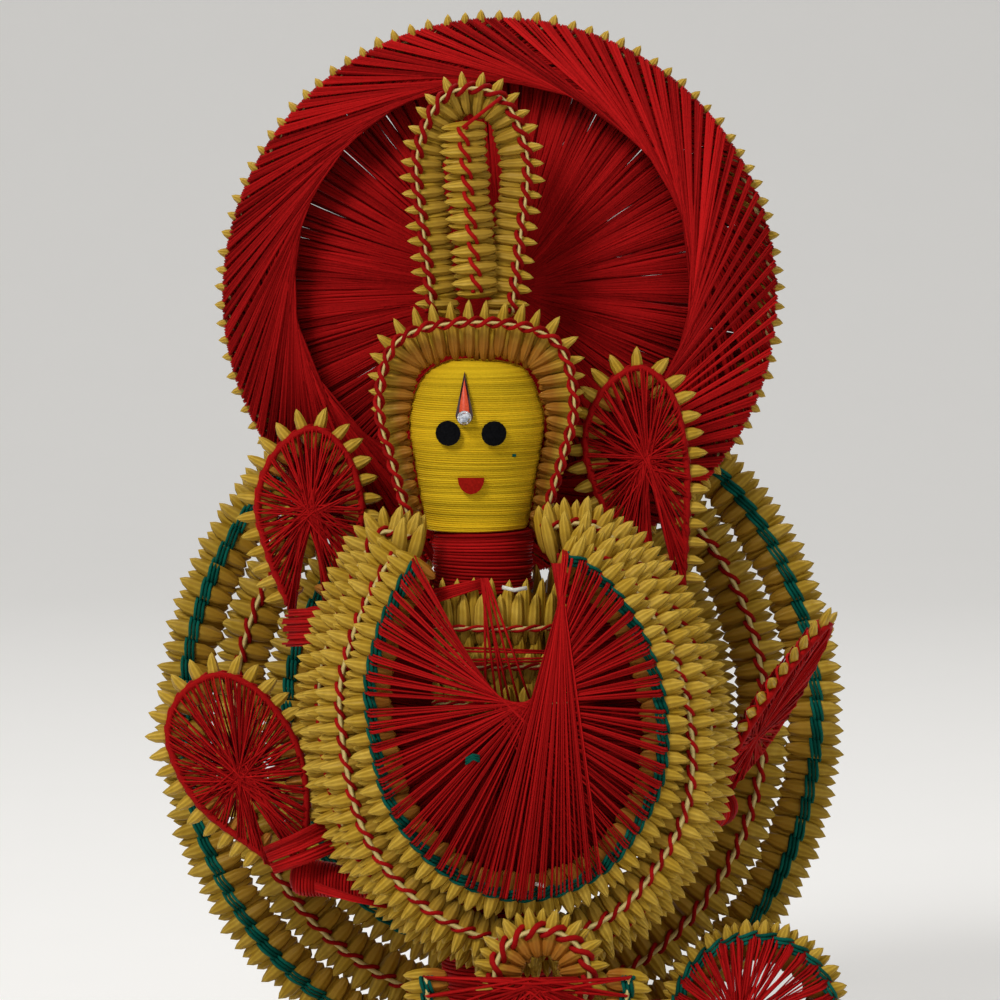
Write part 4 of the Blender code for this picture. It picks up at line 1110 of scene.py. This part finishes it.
class FIGURE_OT_torso(bpy.types.Operator):
    """The torso, seat and waist: rows of upright grains round a wound body"""

    bl_idname = "figure.torso"
    bl_label = "Torso and seat"

    # How far the torso's top row stands above its others, the grains' spacing round a row and
    # the layers of a row: how far each is raised and how far it stands out, in millimetres
    TOP_RISE, SPACING = 4.2 * MM, 2.95 * MM
    LAYERS = ((1.6, -0.1), (-1.2, 0.75))

    def execute(self, context):
        self.rows("torso", "torso_coil", 8, mm(-0.5, 0.5), 15.6 * MM, 13.0 * MM)
        self.rows("seat", "seat_coil", 2, mm(2.3, 0.0), 25.0 * MM, 23.4 * MM)
        wound_post("waist", "waist_bundle", 0.75, 0.8, 0.1, inset=0.4)
        return {"FINISHED"}

    def rows(self, name, node, count, centre, half_width, half_depth):
        """Rows of grains round an oval core, two layers to a row, each row tied round."""
        dice = random.Random(name)
        low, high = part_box(node)
        base, top_rise = low.z, self.TOP_RISE if name == "torso" else 0.0
        row_height = (high.z - base - top_rise) / count
        core = half_width - 1.4 * MM
        # The core takes the shaded husk and the cores' dark tone: painted shade between the rows' grains
        turned_core(name + "_core", [(core, 0.0), (core, high.z - base - top_rise - 1.0 * MM)],
                    shaded_husk(), "shaded_straw", [node],
                    Matrix.Translation((centre.x, centre.y, base)), depth_share=half_depth / half_width)
        items, straps, strips = [], [], []
        around = round(math.pi * (half_width + half_depth) / self.SPACING)
        for row in range(count):
            bottom = max(base, base + row * row_height - 1.5 * MM)
            for layer, (rise, grow) in enumerate(self.LAYERS):
                top = base + (row + 1) * row_height + rise * MM
                top = min(high.z, top + (top_rise * 0.7 if row == count - 1 else 0.0))
                for grain in range(around):
                    angle = math.tau * (grain + 0.5 * layer + 0.3 * row) / around
                    items.append(self.upright(dice, centre, half_width, half_depth, angle, bottom,
                                              top + dice.uniform(-0.6, 0.2) * MM, grow * MM, layer))
            level = base + (row + 0.28) * row_height
            for strand in range(2):
                straps.append(self.round_path(centre, half_width, half_depth, around, level,
                                              1.35 * MM, 0.45 * MM, strand))
            strips.append(self.round_path(centre, half_width, half_depth, around, level, 1.25 * MM, 0, 0))
        settle(join(items, name + "_grains"), golden_husk(), "straw")
        tones = [dice.uniform(0.3, 0.8) for _ in straps]
        settle(strands(name + "_ties", straps, 0.6 * MM, tones, 4, True), red_thread(), "red_thread")
        settle(strands(name + "_strips", strips, 0.8 * MM, None, 4, True), straw_strip(), "straw")

    def upright(self, dice, centre, half_width, half_depth, angle, bottom, top, grow, layer):
        """One upright grain of a row, its point leaning a little outwards."""
        out = Vector((half_width * math.cos(angle), half_depth * math.sin(angle)))
        flat = Vector((math.cos(angle), math.sin(angle)))
        foot = centre + out + flat * (grow - 0.8 * MM)
        head = centre + out + flat * (grow + 0.1 * MM)
        tip, base = Vector((head.x, head.y, top)), Vector((foot.x, foot.y, bottom))
        across = Vector((-flat.y, flat.x, dice.uniform(-0.08, 0.08)))
        # The inner layer's tones are lower: painted shade under the outer layer
        return copy_grain((tip + base) / 2, tip - base, across, (tip - base).length, 2.75 * MM,
                          dice.uniform(0.3, 1.0) if layer else dice.uniform(0.0, 0.5))

    def round_path(self, centre, half_width, half_depth, around, level, grow, twist, strand):
        """A closed path round a row, waving up and down where a strand is twined."""
        path = []
        for step in range(4 * around):
            angle = math.tau * step / (4 * around)
            phase = math.pi * (step / 4 + strand)
            out = grow + 0.3 * MM * math.cos(phase) * (twist > 0)
            path.append(Vector((centre.x + (half_width + out) * math.cos(angle),
                                centre.y + (half_depth + out) * math.sin(angle),
                                level + twist * math.sin(phase))))
        return path


class FIGURE_OT_chest(bpy.types.Operator):
    """Four rings of grains in front of the torso, open at the neck"""

    bl_idname = "figure.chest"
    bl_label = "Chest rings"

    def execute(self, context):
        for name, centre, step_out, to_neck, inner, how in (
            ("front_ring", RING_FRONT, 0.0, False, 4.2, {"tie": "green", "strip": False}),
            ("second_ring", RING_REAR, 5.6, False, 4.4, {}),
            ("third_ring", RING_REAR, 7.5, True, 4.6, {"tie": None, "layers": 1}),
            ("rear_ring", RING_REAR, 9.4, True, 5.0, {}),
        ):
            husk, reach = (stained_and_shaded_husk(), 5.2) if name == "front_ring" else (golden_husk(), 5.0)
            chain(name, [name], ring_line(centre, step_out * MM, to_neck), False,
                  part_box(name)[0].y, reach * MM, inner * MM, husk, **how)
        return {"FINISHED"}


class FIGURE_OT_fan(bpy.types.Operator):
    """The fan of red threads across the front ring"""

    bl_idname = "figure.fan"
    bl_label = "Thread fan"

    # The neckline that the threads leave open, across and up, in millimetres of the figure
    NECKLINE = [(-11.3, 99.5), (-8.1, 93.2), (-4.5, 87.3), (0.0, 81.6), (4.5, 80.6),
                (7.2, 83.3), (9.2, 87.8), (9.9, 92.3), (10.3, 96.8), (10.8, 102.2)]

    # A touching strand has an end below this height; then how many strands touch the neckline
    # from a gap, lie in the bundle and run behind a gap
    TOP = 84 * MM
    A_GAP, GATHERED, BEHIND = 4, 32, 11

    def execute(self, context):
        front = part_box("chest_thread_fan")[0].y
        ring = ring_line(RING_FRONT, 0.0, False)
        laid = RedStrands("fan")
        self.touching(laid, ring, smooth_line(in_mm(self.NECKLINE)), front)
        self.gathered(laid, ring, front)
        laid.finish("chest_fan_threads", 0.68, ["chest_thread_fan"])
        self.behind(ring)
        self.across_neck()
        return {"FINISHED"}

    def touching(self, laid, ring, neckline, front):
        """Strands from each gap that touch the neckline and go on to the ring's far side.

        Both ends lie in front of the tie and then go back between the grains."""
        dice, behind = laid.dice, front + 3.4 * MM
        for gap, normal in zip(*gaps_along(ring, False)):
            for _ in range(self.A_GAP):
                place = gap + aside(normal) * dice.uniform(-0.8, 0.8) * MM
                for pick in (min, max):
                    aim = pick(neckline, key=lambda n: self.turn_from(place, n))
                    along = (aim - place).normalized()
                    end = self.to_ring(place + along * 3 * MM, along, ring)
                    if (end is None or self.crosses(place, end, neckline[0], neckline[-1])
                            or min(place.y, end.y) > self.TOP):
                        continue
                    near = front + (0.15 + 0.8 * dice.random()) * MM
                    out = (end - place).normalized() * 1.2 * MM
                    laid.add((place - out, behind), (place, near), ((place + end) / 2, near),
                             (end, near), (end + out, behind), tone=dice.uniform(0.15, 0.9))

    def turn_from(self, place, aim):
        """The turn of a direction, measured from straight up at the ring's bottom."""
        middle = (RING_FRONT - place).normalized()
        along = (aim - place).normalized()
        return math.atan2(cross(middle, along), middle.dot(along))

    def crosses(self, start, end, first, last):
        """Whether a strand passes through the open top of the neckline."""
        side, top, gap = end - start, last - first, first - start
        area = cross(side, top)
        return abs(area) >= PARALLEL and 0.03 < cross(gap, side) / area < 0.97

    def gathered(self, laid, ring, front):
        """The bundle that narrows under the right shoulder and spreads to the ring's foot."""
        dice, behind = random.Random("bundle"), front + 3.0 * MM
        for index in range(self.GATHERED):
            share = index / (self.GATHERED - 1)
            top = mm(9.4 + 3.2 * share, 105.6)
            waist = mm(10.6 + 0.9 * share + dice.uniform(-0.1, 0.1), 98.8)
            foot = mm(-2.0 + 19.5 * share + dice.uniform(-0.4, 0.4), 54.0)
            end = self.to_ring(waist, (foot - waist).normalized(), ring)
            level = front - 0.25 * MM + 0.3 * dice.random() * MM
            beyond = end + (end - waist).normalized() * 1.2 * MM
            laid.add((top, behind), (waist, level), (end, level), (beyond, behind),
                     tone=dice.uniform(0.35, 1.0))

    def behind(self, ring):
        """A darker layer of strands behind the ring, from each gap to below the neckline: their dark tone is
        painted shade.
        """
        laid = RedStrands("behind")
        depth, high_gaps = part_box("front_ring")[1].y, 80 * MM
        for gap, normal in zip(*gaps_along(ring, False)):
            for strand in range(self.BEHIND):
                side = aside(normal) * (strand - self.BEHIND // 2) * 0.3 * MM
                aim, back = mm(1.5, 75.5) + side * 0.5, 0.2 * MM
                if gap.y > high_gaps:
                    rise = 77.4 * MM + 0.92 * (gap.y - high_gaps)
                    aim, back = Vector((-12.5 * MM if gap.x < 0 else 12.5 * MM, rise)) + side, 6.5 * MM
                level = depth + laid.dice.uniform(0.0, 0.7) * MM
                laid.add((gap + side, level), (aim, level + back), tone=laid.dice.uniform(0.0, 0.35))
        laid.finish("chest_rear_threads", 1.0)

    def across_neck(self):
        """The loose strands that cross the open neckline, up and down and from side to side."""
        laid = RedStrands("neck")
        dice, depth = laid.dice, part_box("torso_coil")[0].y - 0.8 * MM
        for foot in (-0.6, 0.6, 1.8, 3.4, 5.6, -2.6):
            top = mm(-3.0 + dice.uniform(-0.7, 0.7), 102.6)
            laid.add((top, depth), (mm(foot, 80.0), depth - 1.6 * MM), tone=dice.uniform(0.5, 0.9))
        for left, right in (((-9.6, 90.0), (10.4, 89.2)), ((-9.6, 89.3), (10.4, 88.9)),
                            ((-8.0, 87.6), (10.0, 88.0)), ((-8.0, 87.0), (10.0, 87.5))):
            laid.add((mm(*left), depth - 0.5 * MM), (mm(*right), depth - 0.5 * MM),
                     tone=dice.uniform(0.4, 0.8))
        for step in range(6):
            laid.add((mm(-13.2, 97.6 + 0.5 * step), depth + 0.6 * MM),
                     (mm(-2.6, 101.0 + 0.25 * step), depth + 1.6 * MM), tone=dice.uniform(0.4, 0.9))
        laid.finish("neckline_strands", 0.9, sides=6)
        self.stray_bits(depth)

    def stray_bits(self, depth):
        """A thread of dried glue on the torso's top row and one at the ring's foot, and a green knot."""
        glue = plain_material("dried_glue", (0.72, 0.7, 0.62), 0.35, 1800.0)
        top_row = [(0.4, 100.9, 0.0), (2.6, 100.4, -0.3), (4.9, 100.8, 0.0)]
        ring_foot = [(6.4, 47.4, -5.6), (8.2, 47.0, -5.8)]
        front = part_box("chest_thread_fan")[0].y
        loops = [[(-6.2, 69.4 + 0.5 * turn, 0.2), (-4.9, 70.4 + 0.4 * turn, -0.1),
                  (-3.7, 69.9 + 0.5 * turn, 0.3)] for turn in range(3)]
        for name, lines, level, thick, material, slot in (
            ("dried_glue", [top_row, ring_foot], depth, 0.8, glue, "straw"),
            ("green_knot", loops, front, 0.5, green_thread(), "red_thread"),
        ):
            paths = [[at_depth(mm(x, z), level + y * MM) for x, z, y in line] for line in lines]
            settle(strands(name, paths, thick * MM, None, 6), material, slot)

    def to_ring(self, place, along, ring):
        """Where a ray from a place meets the ring's tie."""
        best = None
        for a, b in zip(ring, ring[1:]):
            side, gap = b - a, a - place
            area = cross(along, side)
            if abs(area) < PARALLEL:
                continue
            far, share = cross(gap, side) / area, cross(gap, along) / area
            if far > 0 and 0 <= share <= 1 and (best is None or far < best):
                best = far
        return place + along * best if best else None


class FIGURE_OT_hands(bpy.types.Operator):
    """Four hands: grain loops filled with thread, on wound arms"""

    bl_idname = "figure.hands"
    bl_label = "Hands and arms"

    def execute(self, context):
        for name, (wrist, points, focus, tilt, turn) in HANDS.items():
            place = (Matrix.Translation(mm(*wrist)) @ Matrix.Rotation(tilt, 4, "Y")
                     @ Matrix.Rotation(turn, 4, "Z"))
            line = smooth_line(in_mm(points))
            chain(name, [name + "_rim"], line, False, 0.0, 4.3 * MM, 4.0 * MM, stained_and_shaded_husk(),
                  width=2.6 * MM, place_in=place, strip="red", tie_share=0.75, layers=1)
            self.web(name, line, mm(*focus), place)
            self.arm(name.removesuffix("_hand") + "_arm")
        self.loose_bindings()
        return {"FINISHED"}

    def loose_bindings(self):
        """Strands that bind the upper left and lower left wrists to the rings."""
        laid = RedStrands("bindings")
        dice = laid.dice

        def bind(start, end, bow):
            start, end = mm(*start), mm(*end)
            laid.paths.append([start, start.lerp(end, 0.5) - Vector((0, bow * MM, 0)), end])
            laid.tones.append(dice.uniform(0.3, 0.9))

        for strand in range(20):
            share = strand / 19
            bind((-40.4 + dice.uniform(0.0, 1.4), 2.5, 94.8 - 6.6 * share),
                 (-28.0, -4.5, 96.2 - 6.8 * share + dice.uniform(-0.4, 0.4)), 0.8)
        for _ in range(44):
            share = dice.random()
            bind((-43.6 + 2.0 * share, -4.6 - 1.4 * dice.random(), 51.6 - 4.8 * share),
                 (-32.6 + 2.4 * share, -6.6 - 0.8 * dice.random(), 57.0 - 5.8 * share), 1.4)
        for strand in range(6):
            share = strand / 5
            bind((-34.0, -7.6, 45.4 - 1.4 * share), (-20.8, -9.4, 41.6 - 0.4 * share), 1.5)
        laid.finish("wrist_bindings", 0.9, sides=6)

    def web(self, name, line, focus, place_in):
        """Strands from each gap of the loop to its focus, and a bundle from the wrist."""
        laid = RedStrands(name + "web")
        dice, a_gap, in_front, bundle = laid.dice, 10, 6, 44
        for gap, normal in zip(*gaps_along(line, False)):
            for strand in range(a_gap):
                aim = focus + mm(dice.uniform(-0.9, 0.9), dice.uniform(-1.8, 1.8))
                # The strands after the first in_front lie behind the others and are toned dark: painted shade
                if strand >= in_front:
                    depth = dice.uniform(2.5, 3.1) * MM
                    laid.add((gap + aside(normal) * (strand - 7.5) * 0.7 * MM, depth), (aim, depth),
                             tone=dice.uniform(0.0, 0.3))
                    continue
                start = gap + normal * 0.5 * MM + aside(normal) * dice.uniform(-1.4, 1.4) * MM
                beyond = aim + (aim - start).normalized() * dice.uniform(1.0, 3.0) * MM
                depth = dice.uniform(-0.4, 0.5) * MM
                laid.add((start, 0.4 * MM), (start.lerp(aim, 0.1), depth), (aim, 1.0 * MM + depth),
                         (beyond, 1.6 * MM + depth), tone=dice.uniform(0.2, 0.9))
        for strand in range(bundle):
            side = 1 if strand % 2 else -1
            foot = line[0 if side < 0 else -1] + mm(-side * dice.uniform(0.0, 1.4), -1.6)
            spot = focus + mm(side * dice.uniform(0.0, 1.8), dice.uniform(-1.5, 3.0))
            depth = dice.uniform(0.0, 1.2) * MM
            laid.add((foot, 0.4 * MM + depth), (spot, 0.6 * MM + depth), tone=dice.uniform(0.2, 0.9))
        laid.finish(name + "_threads", 0.65, [name + "_web"], place_in=place_in)

    def arm(self, node):
        """Thread wound along the CAD arm, from its ring end to its wrist."""
        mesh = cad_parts[node].data
        corners = [corner.co.copy() for corner in mesh.vertices]
        middle = sum(corners, Vector()) / len(corners)
        far = max(corners, key=lambda c: (c - middle).length)
        ends = [c for c in corners if (c - far).length < 8.2 * MM]
        other = [c for c in corners if (c - far).length >= 8.2 * MM]
        start, end = sum(ends, Vector()) / len(ends), sum(other, Vector()) / len(other)
        along = end - start
        turn = Matrix.Translation(start) @ along.to_track_quat("Z", "Y").to_matrix().to_4x4()
        radius_a = max((c - start).cross(along.normalized()).length for c in ends)
        radius_b = max((c - end).cross(along.normalized()).length for c in other)
        far_end = along.length
        near = [(0.2, 0.1), (0.55, 0.3), (0.85, 1.0), (1.0, 2.0)]
        profile = [(share * (radius_a - 0.3 * MM), rise * MM) for share, rise in near]
        profile += [(share * (radius_b - 0.3 * MM), far_end - rise * MM) for share, rise in reversed(near)]
        core = [(0.75 * radius_a, 1.4 * MM), (radius_a - 0.7 * MM, 2.4 * MM),
                (radius_b - 0.7 * MM, far_end - 2.4 * MM), (0.75 * radius_b, far_end - 1.4 * MM)]
        turned_core(node + "_core", core, red_thread(), "red_thread", [node], turn, sides=16)
        winding(node + "_thread", profile, 0.62 * MM, 0.66 * MM, red_thread(), "red_thread", turn,
                points=20, wander=0.1 * MM)


class FIGURE_OT_wreath(bpy.types.Operator):
    """Three oval chains behind the figure"""

    bl_idname = "figure.wreath"
    bl_label = "Wreath"

    def execute(self, context):
        step, half_width, half_height = 9.9 * MM, 60.4 * MM, 65.0 * MM
        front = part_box("wreath_outer_chain")[0].y
        for index, (node, tie) in enumerate((("wreath_outer_chain", "green"),
                                             ("wreath_middle_chain", "red"),
                                             ("wreath_inner_chain", "green"))):
            line = ellipse(WREATH, half_width - index * step, half_height - index * step)
            # The wreath's grains take the shaded husk: painted shade behind the figure
            chain(node, [node], line, True, front, 5.5 * MM, 5.7 * MM, shaded_husk(), tie,
                  width=3.5 * MM, pitch=3.9 * MM, strip=tie == "red", tie_share=1.1)
        return {"FINISHED"}


class FIGURE_OT_lap(bpy.types.Operator):
    """The rosette, the lap bowl with its threads, and the knee disc"""

    bl_idname = "figure.lap"
    bl_label = "Lap and knee"

    def execute(self, context):
        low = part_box("rosette_chain")[0]
        radius = 8.6 * MM
        line = ellipse(mm(7.6, 31.0), radius, radius)
        chain("rosette", ["rosette_chain"], line, True, low.y, 4.2 * MM, 5.4 * MM, stained_and_shaded_husk(),
              pitch=3.3 * MM, tie_share=1.4)
        self.bowl()
        self.knee()
        return {"FINISHED"}

    def bowl(self):
        """The half-round chain of the lap, and the threads drawn together in its middle."""
        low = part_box("lap_bowl_chain")[0]
        centre, half_width, drop = mm(4.9, 31.6), 18.2 * MM, 20.0 * MM
        line, steps = [], 60
        for step in range(steps + 1):
            angle = -math.pi * step / steps
            line.append(centre + Vector((half_width * math.cos(angle), drop * math.sin(angle))))
        chain("lap_bowl", ["lap_bowl_chain"], line, False, low.y, 4.8 * MM, 4.0 * MM, stained_and_shaded_husk(), "green")
        laid = RedStrands("bowl")
        dice = laid.dice
        gaps, normals = gaps_along(line, False)
        pinch = centre + mm(0.6, -0.4)
        for gap, normal, other in zip(gaps, normals, reversed(gaps)):
            for _ in range(4):
                spot = pinch + mm(dice.uniform(-2.0, 2.0), dice.uniform(-2.4, 0.3))
                depth = low.y + dice.uniform(-0.3, 0.8) * MM
                laid.add((gap + normal * 0.8 * MM, low.y + 2.4 * MM), (gap, depth),
                         (spot, depth + 0.5 * MM), (spot.lerp(other, 0.5), depth + 0.6 * MM),
                         tone=dice.uniform(0.25, 0.9))
        laid.finish("lap_bowl_threads", 1.0, ["lap_bowl_web"])

    def knee(self):
        """The round chain at the knee, its threads and the bundle that carries it."""
        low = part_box("knee_disc_chain")[0]
        centre, radius = mm(47.1, 20.4), 14.4 * MM
        line = ellipse(centre, radius, radius)
        chain("knee_disc", ["knee_disc_chain"], line, True, low.y, 3.7 * MM, 4.6 * MM, stained_and_shaded_husk(),
              "green", strip=False)
        laid = RedStrands("knee")
        dice = laid.dice
        focus, front = centre + mm(-3.0, -1.4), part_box("knee_disc_web")[0].y
        for gap, normal in zip(*gaps_along(line, True)):
            for _ in range(12):
                aim = focus + mm(dice.uniform(-0.9, 0.9), dice.uniform(-0.9, 0.9))
                beyond = aim + (aim - gap).normalized() * dice.uniform(1.0, 3.0) * MM
                depth = front + dice.uniform(0.2, 0.9) * MM
                start = gap + normal * 0.9 * MM + aside(normal) * dice.uniform(-1.3, 1.3) * MM
                laid.add((start, low.y + 1.6 * MM), (start.lerp(aim, 0.12), depth), (aim, depth),
                         (beyond, depth + 0.3 * MM), tone=dice.uniform(0.2, 0.9))
        laid.finish("knee_disc_threads", 0.75, ["knee_disc_web"])
        wound_post("knee_bundle", "knee_bundle", 0.66, 0.7, 0.1, across=True)


class FIGURE_OT_stage(bpy.types.Operator):
    """The floor and backdrop, the lamps and the camera"""

    bl_idname = "figure.stage"
    bl_label = "Floor, lamps and camera"

    # Each lamp: place and size in metres, power in watts
    LAMPS = (("key_lamp", (-0.5, -0.7, 0.9), 0.35, 8.2),
             ("fill_lamp", (0.8, -0.7, 0.45), 0.8, 1.6),
             ("top_lamp", (0.1, 0.35, 1.0), 0.6, 3.0))

    # The world's light, how much brighter it looks where it is seen, and the paper's lift there
    WORLD_LIGHT, WORLD_SEEN = 0.2, 0.46
    PAPER_SEEN = (0.27, 0.266, 0.258)

    def execute(self, context):
        look = context.scene.figure_stage
        deselect()
        bpy.ops.mesh.primitive_plane_add(size=3.0, location=(0, -0.6, 0))
        floor = bpy.context.object
        floor.name = floor.data.name = "floor"
        apply_place()
        bpy.ops.object.mode_set(mode="EDIT")
        bpy.ops.mesh.select_all(action="DESELECT")
        mesh = bmesh.from_edit_mesh(floor.data)
        for edge in mesh.edges:
            edge.select = all(corner.co.y > 0.8 for corner in edge.verts)
        mesh.select_flush_mode()
        bmesh.update_edit_mesh(floor.data)
        steps, stride = 12, 0.105
        for step in range(steps):
            angle = math.pi / 2 * (step + 0.5) / steps
            extrude((0, stride * math.cos(angle), stride * math.sin(angle)))
        extrude((0, 0, 1.5))
        bpy.ops.object.mode_set(mode="OBJECT")
        floor.data.materials.append(self.paper(look))
        only(floor)
        bpy.ops.object.shade_smooth()
        self.lamps(context)
        self.camera(context, look)
        return {"FINISHED"}

    def paper(self, look):
        """Pale paper, lifted a little where the camera or a gloss sees it."""
        made = plain_material("pale_paper", look.backdrop, 0.9, 40.0, 0.01, 0.02 * MM)
        tree = made.node_tree
        surface = tree.nodes["Principled BSDF"]
        seen = self.seen_directly(tree)
        feed(tree, surface.inputs["Emission Color"], mix_node(tree, seen, (0.0, 0.0, 0.0), self.PAPER_SEEN))
        set_values(surface, Emission_Strength=1.0)
        return made

    def seen_directly(self, tree):
        """1 where the camera, a gloss or clear stone sees the surface, 0 for its light."""
        path = tree.nodes.new("ShaderNodeLightPath")
        seen = math_node(tree, "MAXIMUM", path.outputs["Is Camera Ray"], path.outputs["Is Glossy Ray"])
        return math_node(tree, "MAXIMUM", seen, path.outputs["Is Transmission Ray"])

    def lamps(self, context):
        """A soft key lamp, a fill and a lamp above, and a dim world that looks pale."""
        for name, place, size, power in self.LAMPS:
            lamp = bpy.data.lights.new(name, "AREA")
            lamp.shape, lamp.size, lamp.energy = "SQUARE", size, power
            self.aim_at(link(bpy.data.objects.new(name, lamp)), Vector(place), Vector((0, 0, 0.1)))
        world = context.scene.world or bpy.data.worlds.new("studio")
        context.scene.world = world
        world.use_nodes = True
        tree = world.node_tree
        light = tree.nodes["Background"]
        light.inputs["Color"].default_value = (1.0, 0.99, 0.97, 1.0)
        seen = self.seen_directly(tree)
        lift = math_node(tree, "MULTIPLY", seen, self.WORLD_SEEN)
        feed(tree, light.inputs["Strength"], math_node(tree, "ADD", lift, self.WORLD_LIGHT))
        context.scene.view_settings.view_transform = "Standard"

    def camera(self, context, look):
        """A long lens in front, a little above the figure's middle."""
        aim, distance, rise = Vector((0.0, 0.0151, 0.1142)), 0.9, math.radians(5)
        lens = bpy.data.cameras.new("camera")
        lens.lens, lens.sensor_width = look.lens, 36.0
        lens.clip_start, lens.clip_end = 0.05, 20.0
        item = link(bpy.data.objects.new("camera", lens))
        self.aim_at(item, aim + Vector((0.0, -distance * math.cos(rise), distance * math.sin(rise))), aim)
        context.scene.camera = item

    def aim_at(self, item, place, aim):
        item.location = place
        item.rotation_euler = (aim - place).to_track_quat("-Z", "Y").to_euler()


class FIGURE_PT_pieces(bpy.types.Panel):
    """Lists the pieces of the figure"""

    bl_label = "Figure"
    bl_idname = "FIGURE_PT_pieces"
    bl_space_type = "VIEW_3D"
    bl_region_type = "UI"
    bl_category = "Figure"

    def draw(self, context):
        for name in STEPS:
            self.layout.operator("figure." + name)
        for group in (grains(), threads(), context.scene.figure_stage):
            for name in group.__annotations__:
                self.layout.prop(group, name)


STEPS = ("halo", "crown", "face_arch", "head", "torso", "chest", "fan", "hands", "wreath", "lap", "stage")

CLASSES = (
    GrainSettings, ThreadSettings, StageSettings, FIGURE_OT_halo, FIGURE_OT_crown, FIGURE_OT_face_arch,
    FIGURE_OT_head, FIGURE_OT_torso, FIGURE_OT_chest, FIGURE_OT_fan, FIGURE_OT_hands, FIGURE_OT_wreath,
    FIGURE_OT_lap, FIGURE_OT_stage, FIGURE_PT_pieces,
)

SETTINGS = {"figure_grains": GrainSettings, "figure_threads": ThreadSettings,
            "figure_stage": StageSettings}


def register():
    for item in CLASSES:
        bpy.utils.register_class(item)
    for name, group in SETTINGS.items():
        setattr(bpy.types.Scene, name, PointerProperty(type=group))


def unregister():
    for name in SETTINGS:
        delattr(bpy.types.Scene, name)
    for item in reversed(CLASSES):
        bpy.utils.unregister_class(item)


def main():
    register()
    for name in STEPS:
        getattr(bpy.ops.figure, name)()
    bpy.data.meshes["rice_grain"].use_fake_user = False


if __name__ == "__main__":
    main()
